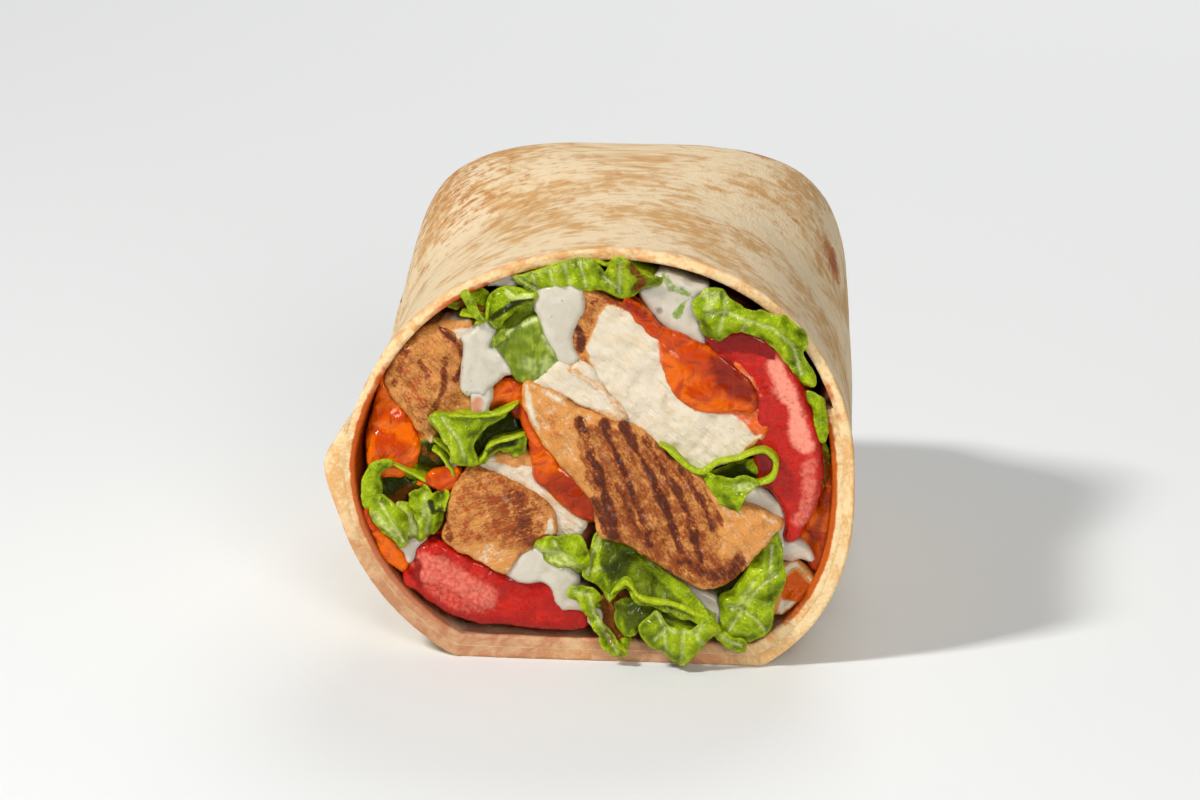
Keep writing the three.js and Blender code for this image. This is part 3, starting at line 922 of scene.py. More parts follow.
@dataclass(frozen=True)
class RipeFlesh:
    """Tomato: wet red flesh with a glossy skin, a painted highlight band, and paler pink flesh."""

    red: Colour = srgb(190, 30, 16)
    deep: Colour = srgb(128, 8, 0)
    bloom: Colour = srgb(242, 150, 126)
    skin: Colour = srgb(158, 18, 8)

    def material(self) -> bpy.types.Material:
        """Makes the material."""
        g = Graph("tomato")
        at = g.grain()
        mottle = g.spread(at, 0.5, 4.0, 0.5)
        fine = g.spread(at, 2.0, 3.0)
        pits = 1.0 - g.rise(g.cells(at, 1.0), 0.1, 0.3)
        colour = g.blend(g.rise(mottle, 0.2, 1.0) * 0.7, self.red, self.skin)
        # Painted highlight, with paler pink flesh on the lower slice.
        colour = g.blend(g.rise(g.mask("bloom") + 0.2 * fine - 0.1, 0.05, 0.95), colour, self.bloom)
        colour = g.blend(pits * 0.35, colour, self.skin)
        colour = g.blend(g.rise(g.mask("deep") + 0.3 * mottle - 0.15, 0.2, 0.8), colour, self.deep)
        colour = g.blend(g.mask("skin"), colour, self.skin)
        look = {**flesh(0.1, 1.8, 0.4, 0.25), **gloss(0.1, 0.3, 0.06)}
        return g.close(colour, 0.22 + 0.12 * fine, 0.5 * mottle + 0.25 * fine - 0.2 * pits, 0.22, look)


@dataclass(frozen=True)
class FreshLeaf:
    """Lettuce: bright green between pale veins, with painted shade in its folds and hollows and painted
    highlights on its ridges and edges.
    """

    bright: Colour = srgb(142, 166, 0)
    mid: Colour = srgb(86, 106, 0)
    dark: Colour = srgb(44, 52, 0)
    lime_and_highlight: Colour = srgb(182, 200, 34)
    vein: Colour = srgb(210, 220, 130)
    rust: Colour = srgb(116, 62, 6)

    def material(self) -> bpy.types.Material:
        """Makes the material."""
        g = Graph("lettuce")
        at = g.grain()
        cloud = g.spread(at, 0.4, 3.0, 0.4)
        fine = g.spread(at, 1.5, 3.0)
        net = 1.0 - g.rise(g.cells(at + 1.2 * fine, 0.7, "DISTANCE_TO_EDGE"), 0.0, 0.16)
        # Painted light and shade: lime where the leaf stands out, bright green between, and shaded green
        # where it lies deep in a fold.
        shade = 0.75 * g.mask("fold") + 0.25 * cloud
        colour = g.blend(g.rise(shade, -0.1, 0.3), self.lime_and_highlight, self.bright)
        colour = g.blend(g.rise(shade, 0.35, 0.85), colour, self.mid)
        colour = g.blend(net * 0.2, colour, self.lime_and_highlight)
        # Pale patches: partly paler leaf, partly painted highlight.
        colour = g.blend(g.rise(g.mask("pale") + 0.3 * fine - 0.15, 0.2, 0.9), colour, self.vein)
        # Painted shade: dark green in hollows and on leaves that lie deeper in the roll.
        colour = g.blend(g.rise(g.mask("dark") + 0.2 * cloud - 0.1, 0.2, 0.9), colour, self.dark)
        colour = g.blend(g.mask("rib") * 0.85, colour, self.vein)
        # Painted highlight: lime along the leaf's edges.
        colour = g.blend(g.mask("edge") * 0.6, colour, self.lime_and_highlight)
        colour = g.blend(g.rise(g.mask("rust") + 0.4 * fine - 0.2, 0.2, 0.8), colour, self.rust)
        height = 0.3 * cloud + 0.3 * fine - 0.25 * net
        look = {**flesh(0.12, 0.7, 1.1, 0.25), **gloss(0.1, 0.14, 0.1)}
        return g.close(colour, 0.3 + 0.15 * fine, height, 0.35, look)


@dataclass(frozen=True)
class CrispStalk:
    """Celery: a green dice with painted highlights along its edges."""

    green: Colour = srgb(142, 156, 44)
    dark: Colour = srgb(96, 116, 10)
    pale: Colour = srgb(206, 214, 150)

    def material(self) -> bpy.types.Material:
        """Makes the material."""
        g = Graph("celery")
        at = g.grain()
        mottle = g.noise(at, 0.8, 4.0)
        thread = g.noise(at * (2.4, 0.6, 0.5), 1.0, 3.0)
        colour = g.blend(g.rise(0.6 * mottle + 0.4 * thread, 0.42, 0.62), self.dark, self.green)
        # Painted highlight along the edges, from the pale mask.
        colour = g.blend(g.mask("pale") * g.rise(mottle, 0.25, 0.6), colour, self.pale)
        colour = g.blend(g.mask("dark"), colour, self.dark)
        look = {**flesh(0.1, 0.8, 1.2, 0.3), **gloss(0.15, 0.2, 0.1)}
        return g.close(colour, 0.28, 0.5 * mottle + 0.5 * thread, 0.2, look)


@dataclass(frozen=True)
class HotSauce:
    """Buffalo sauce: bright orange where thin, brown red where deep, and very glossy."""

    orange: Colour = srgb(222, 98, 0)
    rust: Colour = srgb(188, 58, 0)
    deep: Colour = srgb(130, 24, 0)

    def material(self) -> bpy.types.Material:
        """Makes the material."""
        g = Graph("buffalo_sauce")
        at = g.grain()
        swirl = g.spread(at, 0.3, 3.0, 0.8)
        fine = g.noise(at, 1.3, 3.0)
        colour = g.blend(g.rise(swirl, 0.3, 1.0), self.orange, self.rust)
        colour = g.blend(g.mask("rust"), colour, self.rust)
        colour = g.blend(g.mask("deep"), colour, self.deep)
        look = {**flesh(0.05, 1.4, 0.5, 0.1), **gloss(0.05, 0.4, 0.04)}
        return g.close(colour, 0.12 + 0.08 * fine, 0.6 * swirl + 0.2 * fine, 0.8, look)


@dataclass(frozen=True)
class CreamSauce:
    """Ranch dressing: off-white, with green flecks and orange where the hot sauce has run in."""

    white: Colour = srgb(206, 199, 183)
    shade: Colour = srgb(196, 187, 168)
    herb: Colour = srgb(120, 146, 40)
    sauce: Colour = srgb(204, 104, 40)
    dark: Colour = srgb(66, 44, 12)

    def material(self) -> bpy.types.Material:
        """Makes the material."""
        g = Graph("ranch_dressing")
        at = g.grain()
        cloud = g.noise(at, 0.35, 3.0, 0.5)
        fine = g.noise(at, 1.8, 3.0)
        colour = g.blend(g.rise(0.85 * cloud + 0.15 * fine, 0.35, 0.7), self.white, self.shade)
        fleck = 1.0 - g.rise(g.cells(at, 0.55), 0.05, 0.16)
        colour = g.blend(fleck * g.rise(fine, 0.5, 0.6), colour, self.herb)
        colour = g.blend(g.rise(g.mask("sauce") + 0.6 * cloud - 0.3, 0.2, 0.9), colour, self.sauce)
        colour = g.blend(g.rise(g.mask("herb") + 0.8 * fine - 0.4, 0.3, 0.8), colour, self.herb)
        # Painted shade from the dark mask, on the mass behind the pieces where it shows in the gaps.
        colour = g.blend(g.mask("dark") * g.rise(cloud, 0.3, 0.5), colour, self.dark)
        look = {**flesh(0.25, 1.5, 1.3, 1.0), **gloss(0.2, 0.25, 0.08)}
        return g.close(colour, 0.26 + 0.1 * fine, 0.8 * cloud + 0.12 * fine, 0.3, look)


@dataclass(frozen=True)
class PaleGround:
    """A plain pale floor, clouded a little."""

    tone: Colour = srgb(240, 242, 242)
    cloud: Colour = srgb(230, 229, 226)

    def material(self) -> bpy.types.Material:
        """Makes the material."""
        g = Graph("floor")
        at = g.node("ShaderNodeTexCoord", {}, {}, "Object")
        tone = g.blend(g.noise(at, 9.0, 2.0) * 0.1, self.tone, self.cloud)
        return g.close(tone, 0.7, g.noise(at, 60.0, 2.0), 0.05)


# ------------------------------------------------------------------ making pieces


@dataclass(frozen=True)
class Roll:
    """The form of the rolled tortilla's skin, in millimetres, as the CAD part has it.

    Attributes:
        length: of the roll, from the cut to the folded-in end.
        straight: depth up to which its section keeps its size.
        half_width: half its width at the cut.
        half_height: half its height at the cut.
        axis_height: height of its axis over the floor at the cut.
        lean: how far its top leans over to the right.
        end_round: radius of the rounding round the end.
        end_width: part of its width that is left at the end.
        end_height: part of its height that is left there.
        drawn_in: how far the right side comes in for each millimetre of depth.
        squared: depths between which the section gets squarer.
        swell: height of the swelling, its depth and its reach.
        power: powers of the round section, of its lower right, and what squaring adds.
        dent: height of the long dents.
    """

    length: float = 96.0
    straight: float = 57.0
    half_width: float = 37.0
    half_height: float = 32.5
    axis_height: float = 27.5
    lean: float = 4.0
    end_round: float = 8.0
    end_width: float = 0.96
    end_height: float = 0.6
    drawn_in: float = 0.13
    squared: Point = (30.0, 62.0)
    swell: Place = (1.6, 45.0, 22.0)
    power: Place = (2.0, 2.5, 1.6)
    dent: float = 0.3

    def draw_in(self, points: np.ndarray) -> np.ndarray:
        """Moves points over with the right side, which comes in towards the tucked end."""
        share = (points[:, 0] + self.half_width) / (2 * self.half_width)
        return points - np.outer(self.drawn_in * share * points[:, 1], (1.0, 0.0, 0.0))

    def section(self, angle: np.ndarray, depth: np.ndarray, inset: np.ndarray) -> np.ndarray:
        """Gives the skin's place at an angle in radians, or a given way inside it.

        Args:
            angle: direction from the axis, 0 to the right and a quarter turn up.
            depth: distance from the cut.
            inset: how far inside the skin.

        Returns:
            Points, one row of three each.
        """
        lowered = smooth(depth, self.straight, self.length)
        squared = smooth(depth, *self.squared)
        width = 1 + (self.end_width - 1) * lowered
        height = 1 + (self.end_height - 1) * lowered
        lean = self.lean * (1 - 0.5 * squared)
        high, where, reach = self.swell
        swell = high * bell(depth, where, reach)
        across, up = np.cos(angle), np.sin(angle)
        plain, lower_right, more = self.power
        power = 2.0 / (np.where((across > 0) & (up < 0), lower_right, plain) + more * squared)
        dent = self.dent * np.sin(2 * angle + depth / 17) * np.sin(depth / 11 + 1.3 * up)
        half_width = self.half_width * width - inset - dent
        half_height = self.half_height * height - inset + swell
        leant = lean * height * np.maximum(up, 0) ** 1.4
        x = leant + np.sign(across) * np.abs(across) ** power * half_width
        z = self.axis_height * height + np.sign(up) * np.abs(up) ** power * half_height
        return np.column_stack([x, depth, np.maximum(z, inset)])


@dataclass
class Maker:
    """Turns solids into pieces that ride on the part.

    Attributes:
        origin: where the roll's origin is in the frame, in millimetres.
        roll: the form of the roll.
        count: how many pieces have been made.
    """

    origin: np.ndarray
    roll: Roll
    count: int = 0

    def add(
        self,
        name: str,
        solid: Solid,
        material: bpy.types.Material,
        slot: Slot,
        stands_for: Sequence[str] = (),
    ) -> bpy.types.Object:
        """Makes one piece.

        Args:
            name: the piece's name.
            solid: its form, in roll millimetres.
            material: its material.
            slot: not used.
            stands_for: CAD nodes it replaces.

        Returns:
            The new object.
        """
        points = self.roll.draw_in(solid.points) + self.origin
        points[:, 2] = np.maximum(points[:, 2], FLOOR_GAP)
        mesh = bpy.data.meshes.new(name)
        mesh.from_pydata((points / 1000.0).tolist(), [], solid.faces.tolist())
        shell = bmesh.new()
        shell.from_mesh(mesh)
        bmesh.ops.recalc_face_normals(shell, faces=shell.faces)
        shell.to_mesh(mesh)
        shell.free()
        mesh.polygons.foreach_set("use_smooth", np.ones(len(mesh.polygons), bool))
        grain = solid.points if solid.grain is None else solid.grain
        store = mesh.attributes.new("grain", "FLOAT_VECTOR", "POINT")
        store.data.foreach_set("vector", grain.astype(np.float32).ravel())
        for mask, values in solid.masks.items():
            store = mesh.attributes.new(mask, "FLOAT", "POINT")
            store.data.foreach_set("value", values.astype(np.float32))
        mesh.materials.append(material)
        mesh.update()
        piece = bpy.data.objects.new(name, mesh)
        bpy.context.scene.collection.objects.link(piece)
        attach(piece, "root")
        if stands_for:
            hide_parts(*stands_for)
        self.count += 1
        LOG.info("%s: %d triangles", name, len(solid.faces))
        return piece


# ------------------------------------------------------------------ tortilla


@dataclass(frozen=True)
class Tortilla:
    """The rolled tortilla: one winding, half a winding more under it, and the folded-in end.

    Attributes:
        roll: the form of its skin.
        thickness: of the sheet.
        edge_thickness: of the sheet at its free edge.
        layer: how far a winding lies inside the one over it.
        turn: degrees from one free edge to the other.
        start: direction of the outer free edge, in degrees.
        tuck_from: winding at which the sheet starts to go under.
        step: degrees between vertices.
        corner_height: how far the outer free edge stands off near the cut.
        rounding: radius of the rounded rim of the cut.
        seam: part of the rounding that is pressed flat between two windings.
        radius: of the roll, as its texture is wound.
        end_columns: number of vertices round the folded-in end.
        end_rows: depths of its first rows, inside the sheet.
        end_depth: depth of the middle of the end, before its folds.
    """

    roll: Roll = Roll()
    thickness: float = 1.7
    edge_thickness: float = 0.7
    layer: float = 1.6
    turn: float = 570.0
    start: float = 170.0
    tuck_from: float = 318.0
    step: float = 2.0
    corner_height: float = 1.2
    rounding: float = 0.45
    seam: float = 0.85
    radius: float = 34.0
    end_columns: int = 180
    end_rows: Point = (81.0, 84.0)
    end_depth: float = 94.6

    def insets(self, turned: np.ndarray, depth: np.ndarray) -> tuple[np.ndarray, np.ndarray]:
        """Gives how far inside the skin the sheet's outer and inner faces lie."""
        fade = bell(depth, 0.0, 20.0)
        tucked = self.layer * smooth(turned, self.tuck_from, 360.0)
        corner = self.corner_height * fade * bell(turned, 10.0, 9.0)
        thin = (self.thickness - self.edge_thickness) * (1 - smooth(turned, 0.0, 10.0))
        return tucked + thin - corner, tucked + self.thickness + 0.3 * corner

    def profile(self) -> list[tuple[float, float, float]]:
        """Gives the sheet's section along the roll as depth, turn round the end and side.

        Returns:
            Places from the end over the outer face to the cut and back along the inner face; side
            is 0 on the outer face and 1 on the inner one.
        """
        straight = self.roll.length - self.roll.end_round
        outside = [0.0, 0.35, 0.8, 1.4, 2.1, 3.0, 4.0, 5.0, *np.arange(6.0, straight, 0.95), straight]
        rows = [(straight, math.radians(turn), 0.0) for turn in range(75, 0, -6)]
        rows += [(self.rounding + depth, 0.0, 0.0) for depth in reversed(outside[:-1])]
        rim = [(self.rounding * (1 - math.sin(t)), 0.24 * (1 - math.cos(t))) for t in (0.5, 1.0, 1.35)]
        rows += [(depth, 0.0, side) for depth, side in rim]
        rows += [(0.0, 0.0, side) for side in (0.32, 0.42, 0.5, 0.58, 0.68)]
        rows += [(depth, 0.0, 1 - side) for depth, side in reversed(rim)]
        inner = (0.0, 0.4, 0.9, 1.5, 2.3, 3.3, 4.6, 6.2, 8.2, 11.0, 15.0, 22.0, 34.0, 50.0, 68.0, 80.0)
        rows += [(self.rounding + depth, 0.0, 1.0) for depth in inner]
        rows += [(straight, math.radians(turn), 1.0) for turn in (10, 30, 50, 75)]
        return rows

    def sheet(self) -> Solid:
        """Makes the rolled sheet.

        Returns:
            A closed solid with the masks of its material.
        """
        columns = int(self.turn / self.step) + 1
        turned = np.linspace(0, self.turn, columns)
        angle = np.radians(self.start + turned)
        way = np.radians(turned) * self.radius
        grid, grains, sides, depths = [], [], [], []
        for depth, turn, side in self.profile():
            flat = np.full(columns, depth)
            outer, inner = self.insets(turned, flat)
            inset = outer + side * (inner - outer)
            reach = self.roll.end_round - inset
            curled = inset + reach * (1 - math.cos(turn))
            place = self.roll.section(angle, flat + reach * math.sin(turn), curled)
            under = turned > 350 if side < 0.5 else turned < 220
            place[:, 1] -= self.seam * np.minimum(place[:, 1], self.rounding) * under
            waver = 0.3 * fbm(place * (1, 0, 1), 9.0, 2, 5) + 0.16 * fbm(place, 1.3, 3, 6)
            place[:, 1] += waver * math.exp(-depth / 3.0)
            grid.append(place)
            grains.append(np.column_stack([way, place[:, 1], inset]))
            sides.append(np.full(columns, side))
            depths.append(place[:, 1])
        rows = len(grid)
        faces = [strip_faces(rows, columns, False)]
        first = np.arange(columns)
        last = first + (rows - 1) * columns
        faces.append(np.column_stack([last[:-1], first[:-1], first[1:]]))
        faces.append(np.column_stack([last[:-1], first[1:], last[1:]]))
        middle = next(row for row, (_, _, side) in enumerate(self.profile()) if side > 0.5)
        points = np.vstack(grid)
        for end in (0, columns - 1):
            ring = np.arange(rows) * columns + end
            faces.append(ladder(ring[:middle], ring[:middle - 1:-1], points[:, 1]))
        solid = Solid(points, np.vstack(faces), points[:, [0, 2]], np.zeros(len(points)))
        solid.grain = np.vstack(grains)
        self.dress(solid, np.tile(turned, rows), np.concatenate(depths), np.concatenate(sides))
        away = smooth(points[:, 1], 1.0, 6.0) * 0.16 * fbm(points, 7.0, 4, 3)
        solid.points = points + solid.normals() * away[:, None]
        return solid

    def dress(self, solid: Solid, turned: np.ndarray, depth: np.ndarray, side: np.ndarray) -> None:
        """Works out the masks.

        Args:
            solid: the sheet, whose masks are set.
            turned: winding at each vertex, in degrees.
            depth: distance of each vertex from the cut.
            side: 0 on the outer face, 1 on the inner.
        """
        angle = (self.start + turned + 90) % 360 - 90
        outer = side < 0.05
        noise = fbm(solid.grain, 9.0, 3, 21)
        front = 1 - smooth(depth, 0.7, 1.5)
        masks = solid.masks
        faces = np.where(side > 0.97, 1 - smooth(depth, 0.6, 2.2), 1 - smooth(depth, 0.1, 0.4))
        masks["cut"] = np.where(outer | (side > 0.97), faces, 1.0)
        edge = bell(side, 0.0, 0.16) * front * (turned < 350)
        masks["lip"] = edge * (0.35 + 0.5 * noise + 0.3 * bell(angle, 140, 40))
        left = bell(angle, 132, 34)
        masks["toast"] = np.where(outer, left * smooth(depth, 8, 60) + 0.3 * smooth(noise, -0.2, 0.6), 0.0)
        masks["toast"] = masks["toast"] + np.where(outer & (angle > 160) & (angle < 250), 0.15, 0.0)
        masks["spot"] = np.zeros(len(angle))
        for where, deep, wide, long, full in self.blisters():
            away = np.hypot((angle - where) / wide, (depth - deep) / long)
            masks["spot"] = np.maximum(masks["spot"], full * np.exp(-(away**2)) * outer)
        within = smooth(side, 0.35, 0.75) * smooth(turned, 200.0, 216.0)
        right = bell(angle, -8, 36, 4)
        low_left = bell(angle, 190, 42, 4)
        top_left = bell(angle, 128, 12, 4)
        masks["stain"] = within * np.maximum(np.maximum.reduce([right, low_left, 0.7 * top_left]), 0.25)
        hidden = bell(angle, -5, 26, 4) * smooth(depth, 1.0, 2.5)
        masks["deep"] = within * hidden
        bottom = bell(angle, 236, 40, 4) + bell(angle, -80, 22, 4)
        masks["grease"] = 0.9 * bottom * smooth(depth, -2.0, -0.5) * (1 - smooth(depth, 0.5, 6.0)) * ~outer

    def blisters(self) -> list[tuple[float, float, float, float, float]]:
        """Gives the spots: direction, depth, half sizes in degrees and millimetres, strength."""
        return [
            (126, 66, 6, 1.5, 1.0), (131, 63, 3, 1.0, 0.8), (112, 71, 4, 1.2, 0.9), (116, 69, 2, 0.8, 0.7),
            (136, 76, 5, 1.6, 0.6), (131, 37, 2, 0.8, 0.5), (92, 14, 3, 0.8, 0.45), (146, 57, 3, 1.4, 0.6),
            (159, 38, 3, 1.4, 0.5), (127, 50, 2, 0.7, 0.6), (140, 48, 3, 0.8, 0.5), (70, 60, 9, 4.0, 0.8),
            (30, 44, 8, 4.0, 0.9), (10, 66, 6, 3.4, 0.8), (-25, 30, 7, 3.6, 0.7), (200, 50, 7, 3.6, 0.8),
            (216, 26, 5, 2.4, 0.6), (176, 74, 6, 3.0, 0.7), (160, 3.5, 1.6, 0.9, 1.0),
        ]

    def end(self) -> Solid:
        """Makes the folded-in end of the tortilla.

        Returns:
            A closed solid with the masks of its material.
        """
        columns = self.end_columns
        angle = np.linspace(0, 2 * np.pi, columns, endpoint=False)
        wall = 0.45 * self.thickness
        reach = self.roll.end_round - wall
        straight = self.roll.length - self.roll.end_round
        degrees = np.degrees(angle)
        under = np.where(degrees <= self.start, self.layer * smooth(degrees, 128.0, 170.0), 0.0)
        grid = [
            self.roll.section(angle, np.full(columns, depth), wall + under)
            for depth in (*self.end_rows, straight)]
        for turn in range(10, 60, 10):
            curl = math.radians(turn)
            depth = np.full(columns, straight + reach * math.sin(curl))
            grid.append(self.roll.section(angle, depth, wall + reach * (1 - math.cos(curl)) + under))
        edge = np.full(columns, self.roll.end_round)
        face = self.roll.section(angle, np.full(columns, self.end_depth), edge)
        middle = self.roll.axis_height * self.roll.end_height
        for size in np.linspace(1.0, 0.03, 34):
            x = face[:, 0] * size
            z = middle + (face[:, 2] - middle) * size
            off = (z - middle - 0.12 * x) / 2.2
            crease = 1.8 * bell(off, 0.0, 1.0) * (1 - size**2)
            step = 0.9 * smooth(-off, -0.2, 0.4) * (1 - size**3)
            pleat = 0.45 * np.sin(9 * angle + 2.2 * np.sin(3 * angle) + 4 * size) * size * (1 - size) * 3
            depth = self.end_depth - 1.6 * (1 - size) - crease - step + pleat
            grid.append(np.column_stack([x, depth, z]))
        points = np.vstack(grid)
        rows = len(grid)
        caps = []
        for start, flip in ((0, False), ((rows - 1) * columns, True)):
            ring = np.arange(columns) + start
            fan = np.column_stack([np.full(columns - 2, ring[0]), ring[1:-1], ring[2:]])
            caps.append(fan[:, ::-1] if flip else fan)
        faces = np.vstack([strip_faces(rows, columns, True), *caps])
        solid = Solid(points, faces, points[:, [0, 2]], np.zeros(len(points)))
        solid.grain = points[:, [0, 2, 1]]
        solid.masks["toast"] = 0.4 + 0.3 * fbm(points, 8.0, 3, 4)
        return solid.roughen(0.3, 5.0, 8, 4)

    def build(self, maker: Maker) -> None:
        """Makes the tortilla's piece."""
        solid = self.sheet().joined([self.end()])
        maker.add("tortilla_roll", solid, BakedFlour().material(), Slot.TORTILLA, ["tortilla"])


# ------------------------------------------------------------------ filling


@dataclass(frozen=True)
class Chicken:
    """The pieces of chicken in the cut; each field stands for the CAD node of its name."""

    breast_slice: Slab = Slab(
        [(-1.8, 53.7), (0.1, 53.3), (2.3, 52.6), (5.5, 51.0), (7.0, 49.5), (9.3, 48.0), (12.5, 47.4),
         (16.0, 45.6), (20.1, 44.3), (23.3, 40.7), (24.2, 37.7), (24.6, 35.0), (23.6, 33.1), (21.6, 31.6),
         (19.8, 30.1), (17.2, 29.1), (14.9, 28.3), (12.5, 29.8), (9.3, 31.9), (6.4, 33.1), (3.5, 34.4),
         (1.1, 36.0), (-0.6, 38.0), (-1.8, 40.7), (-2.1, 44.3), (-2.5, 48.0), (-2.7, 51.0)],
        front=-1.2, back=30.0, edge=0.5, lumps=(0.3, 2.4), tilt=(0.0, 0.02), grain=-40.0, seed=3, fibre=0.3,
        marks=(
            Mark("brown", [(-3.4, 54.0), (-0.7, 54.6), (2.0, 54.5), (4.0, 52.8), (2.6, 51.9), (1.1, 50.5),
                (-0.1, 47.9), (-0.7, 45.3), (-0.2, 42.6), (-1.1, 42.2), (-2.3, 44.7),
                (-3.4, 47.5)], 0.6, 0.72, 0.5, True),
            Mark("char", [(-1.9, 48.3), (-1.4, 47.1), (-1.5, 45.5)], 0.55, 1.0, 0.3),
            Mark("char", [(0.1, 52.1), (0.8, 52.5)], 0.35, 0.8, 0.3),
            Mark("brown", [(2.3, 52.6), (5.5, 51.1), (7.0, 49.6), (9.3, 48.0),
                (12.5, 47.2)], 0.35, 1.0, 0.3),
            Mark("spice", [(0.6, 52.8), (3.5, 52.2), (5.8, 50.7), (7.6, 48.9)], 0.6, 0.8, 0.5),
            Mark("sauce", [(9.3, 47.7), (12.5, 47.2), (16.0, 45.6), (20.1, 44.3), (23.3, 40.7),
                (24.2, 37.7), (24.8, 34.7), (22.7, 33.4), (21.9, 35.3), (20.1, 36.5), (14.3, 37.1),
                (11.4, 39.8), (9.7, 44.0)], 0.5, 0.75, 0.4, True),
            Mark("brown", [(21.9, 31.6), (24.2, 33.7)], 0.5, 0.5, 0.3)))
    grilled_strip: Slab = Slab(
        [(-9.3, 40.1), (-7.2, 39.4), (-4.9, 38.6), (-3.1, 37.0), (-0.7, 36.0), (2.7, 34.9), (6.5, 33.8),
         (9.2, 31.2), (12.6, 28.9), (16.2, 26.3), (18.0, 24.3), (20.0, 23.5), (22.7, 22.8), (25.2, 21.5),
         (26.3, 20.7), (24.8, 18.8), (22.7, 16.5), (20.7, 14.0), (18.7, 12.3), (16.7, 11.4), (14.6, 11.6),
         (11.7, 13.2), (8.8, 14.6), (5.4, 17.0), (2.7, 18.1), (0.7, 18.8), (0.2, 22.4), (-1.3, 24.9),
         (-4.3, 28.2), (-6.1, 30.5), (-7.7, 32.8), (-8.8, 34.7), (-9.7, 37.5)],
        front=-2.8, back=34.0, edge=0.7, lumps=(0.45, 2.6), tilt=(0.012, 0.03), grain=-55.0, seed=5,
        step=0.3, fibre=0.45,
        marks=(
            Mark("brown", [(-9.3, 40.1), (-0.7, 36.0), (6.5, 33.8), (16.2, 26.3), (26.3, 20.7),
                (18.7, 12.3), (11.7, 13.2), (0.7, 18.8), (-7.7, 32.8)], 1.2, 0.44, 0.3, True),
            Mark("brown", [(-2.5, 35.6), (3.6, 34.5), (7.7, 32.1), (12.6, 28.9), (16.2, 25.6), (17.6, 21.6),
                (18.0, 17.0), (16.2, 11.8), (11.7, 13.2), (5.4, 17.0), (0.9, 19.0), (-0.9, 25.4),
                (-2.7, 31.0)], 1.0, 0.85, 1.2, True),
            Mark("brown", [(8.0, 17.0), (13.5, 14.0), (19.0, 13.6)], 2.6, 0.95, 1.6),
            Mark("char", [(-1.8, 35.2), (-0.7, 31.4), (0.7, 27.2), (1.8, 23.5),
                (2.7, 18.8)], 0.85, 0.95, 0.8),
            Mark("char", [(1.6, 34.5), (3.1, 30.5), (4.7, 26.8), (6.3, 22.6),
                (7.9, 17.4)], 0.62, 0.95, 0.7),
            Mark("char", [(4.3, 34.5), (6.3, 30.5), (8.6, 26.3), (10.6, 21.6),
                (12.3, 16.5)], 0.6, 0.9, 0.6),
            Mark("char", [(7.2, 32.7), (9.6, 28.6), (11.9, 24.9), (13.7, 20.7),
                (15.1, 15.1)], 0.55, 0.9, 0.6),
            Mark("char", [(10.5, 30.8), (13.0, 27.2), (15.3, 23.7), (16.7, 20.2)], 0.5, 0.8, 0.5),
            Mark("char", [(13.7, 27.7), (16.2, 24.3), (18.0, 20.7)], 0.35, 0.55, 0.4),
            Mark("char", [(12.6, 15.1), (16.2, 13.2), (19.1, 13.6), (20.7, 15.5)], 0.9, 0.75, 0.9),
            Mark("char", [(3.6, 26.3), (5.4, 20.7), (7.2, 17.9)], 0.9, 0.6, 0.9),
            Mark("char", [(0.2, 23.5), (1.6, 19.3)], 0.8, 0.8, 0.5),
            Mark("spice", [(-7.2, 37.5), (-2.7, 34.7), (-3.1, 30.0), (-6.3, 32.8)], 0.6, 0.6, 0.6, True)))
    browned_chunk: Slab = Slab(
        [(-21.4, 16.8), (-21.4, 17.8), (-20.9, 19.2), (-20.6, 21.8), (-20.0, 24.0), (-18.6, 25.9),
         (-17.1, 27.2), (-15.5, 26.8), (-13.7, 26.4), (-11.9, 25.4), (-10.3, 24.6), (-8.3, 23.5),
         (-6.5, 22.1), (-5.6, 20.1), (-5.7, 18.1), (-7.6, 17.5), (-8.8, 16.1), (-10.2, 15.3), (-11.4, 14.1),
         (-12.3, 12.4), (-13.4, 12.4), (-15.2, 13.5), (-18.1, 14.9), (-20.4, 16.0)],
        front=-2.0, back=26.0, edge=0.9, dome=(0.4, 2.0), lumps=(0.5, 2.2), grain=20.0, seed=8,
        tilt=(0.0, 0.05), fibre=0.15,
        marks=(
            Mark("brown", [(-21.4, 19.8), (-20.5, 24.0), (-17.8, 27.2), (-15.3, 27.7), (-11.7, 25.8),
                (-7.9, 23.7), (-6.3, 20.7), (-7.2, 17.0), (-10.3, 14.9), (-14.4, 17.0), (-18.4, 16.2),
                (-21.4, 15.1)], 0.9, 0.74, 0.9, True),
            Mark("brown", [(-21.8, 17.5), (-16.7, 19.1), (-12.4, 17.5), (-8.1, 15.8), (-10.5, 13.4),
                (-12.8, 11.0), (-18.3, 12.6), (-22.2, 15.0)], 1.0, 0.4, 0.6, True),
            Mark("brown", [(-17.8, 27.7), (-14.4, 29.3), (-9.0, 27.7)], 0.5, 0.35, 0.5),
            Mark("char", [(-11.7, 23.5), (-9.7, 21.2), (-9.9, 18.8), (-7.6, 17.0)], 1.7, 0.66, 1.2),
            Mark("brown", [(-13.8, 22.6), (-12.2, 19.4)], 1.9, 0.95, 1.2),
            Mark("char", [(-21.1, 20.7), (-20.5, 17.0)], 0.5, 0.7, 0.5),
            Mark("char", [(-17.3, 26.3), (-14.4, 25.4)], 0.5, 0.5, 0.8),
            Mark("spice", [(-19.8, 23.5), (-14.4, 26.3), (-7.6, 21.6), (-10.8, 16.5),
                (-18.9, 17.0)], 0.9, 0.8, 0.9, True)))
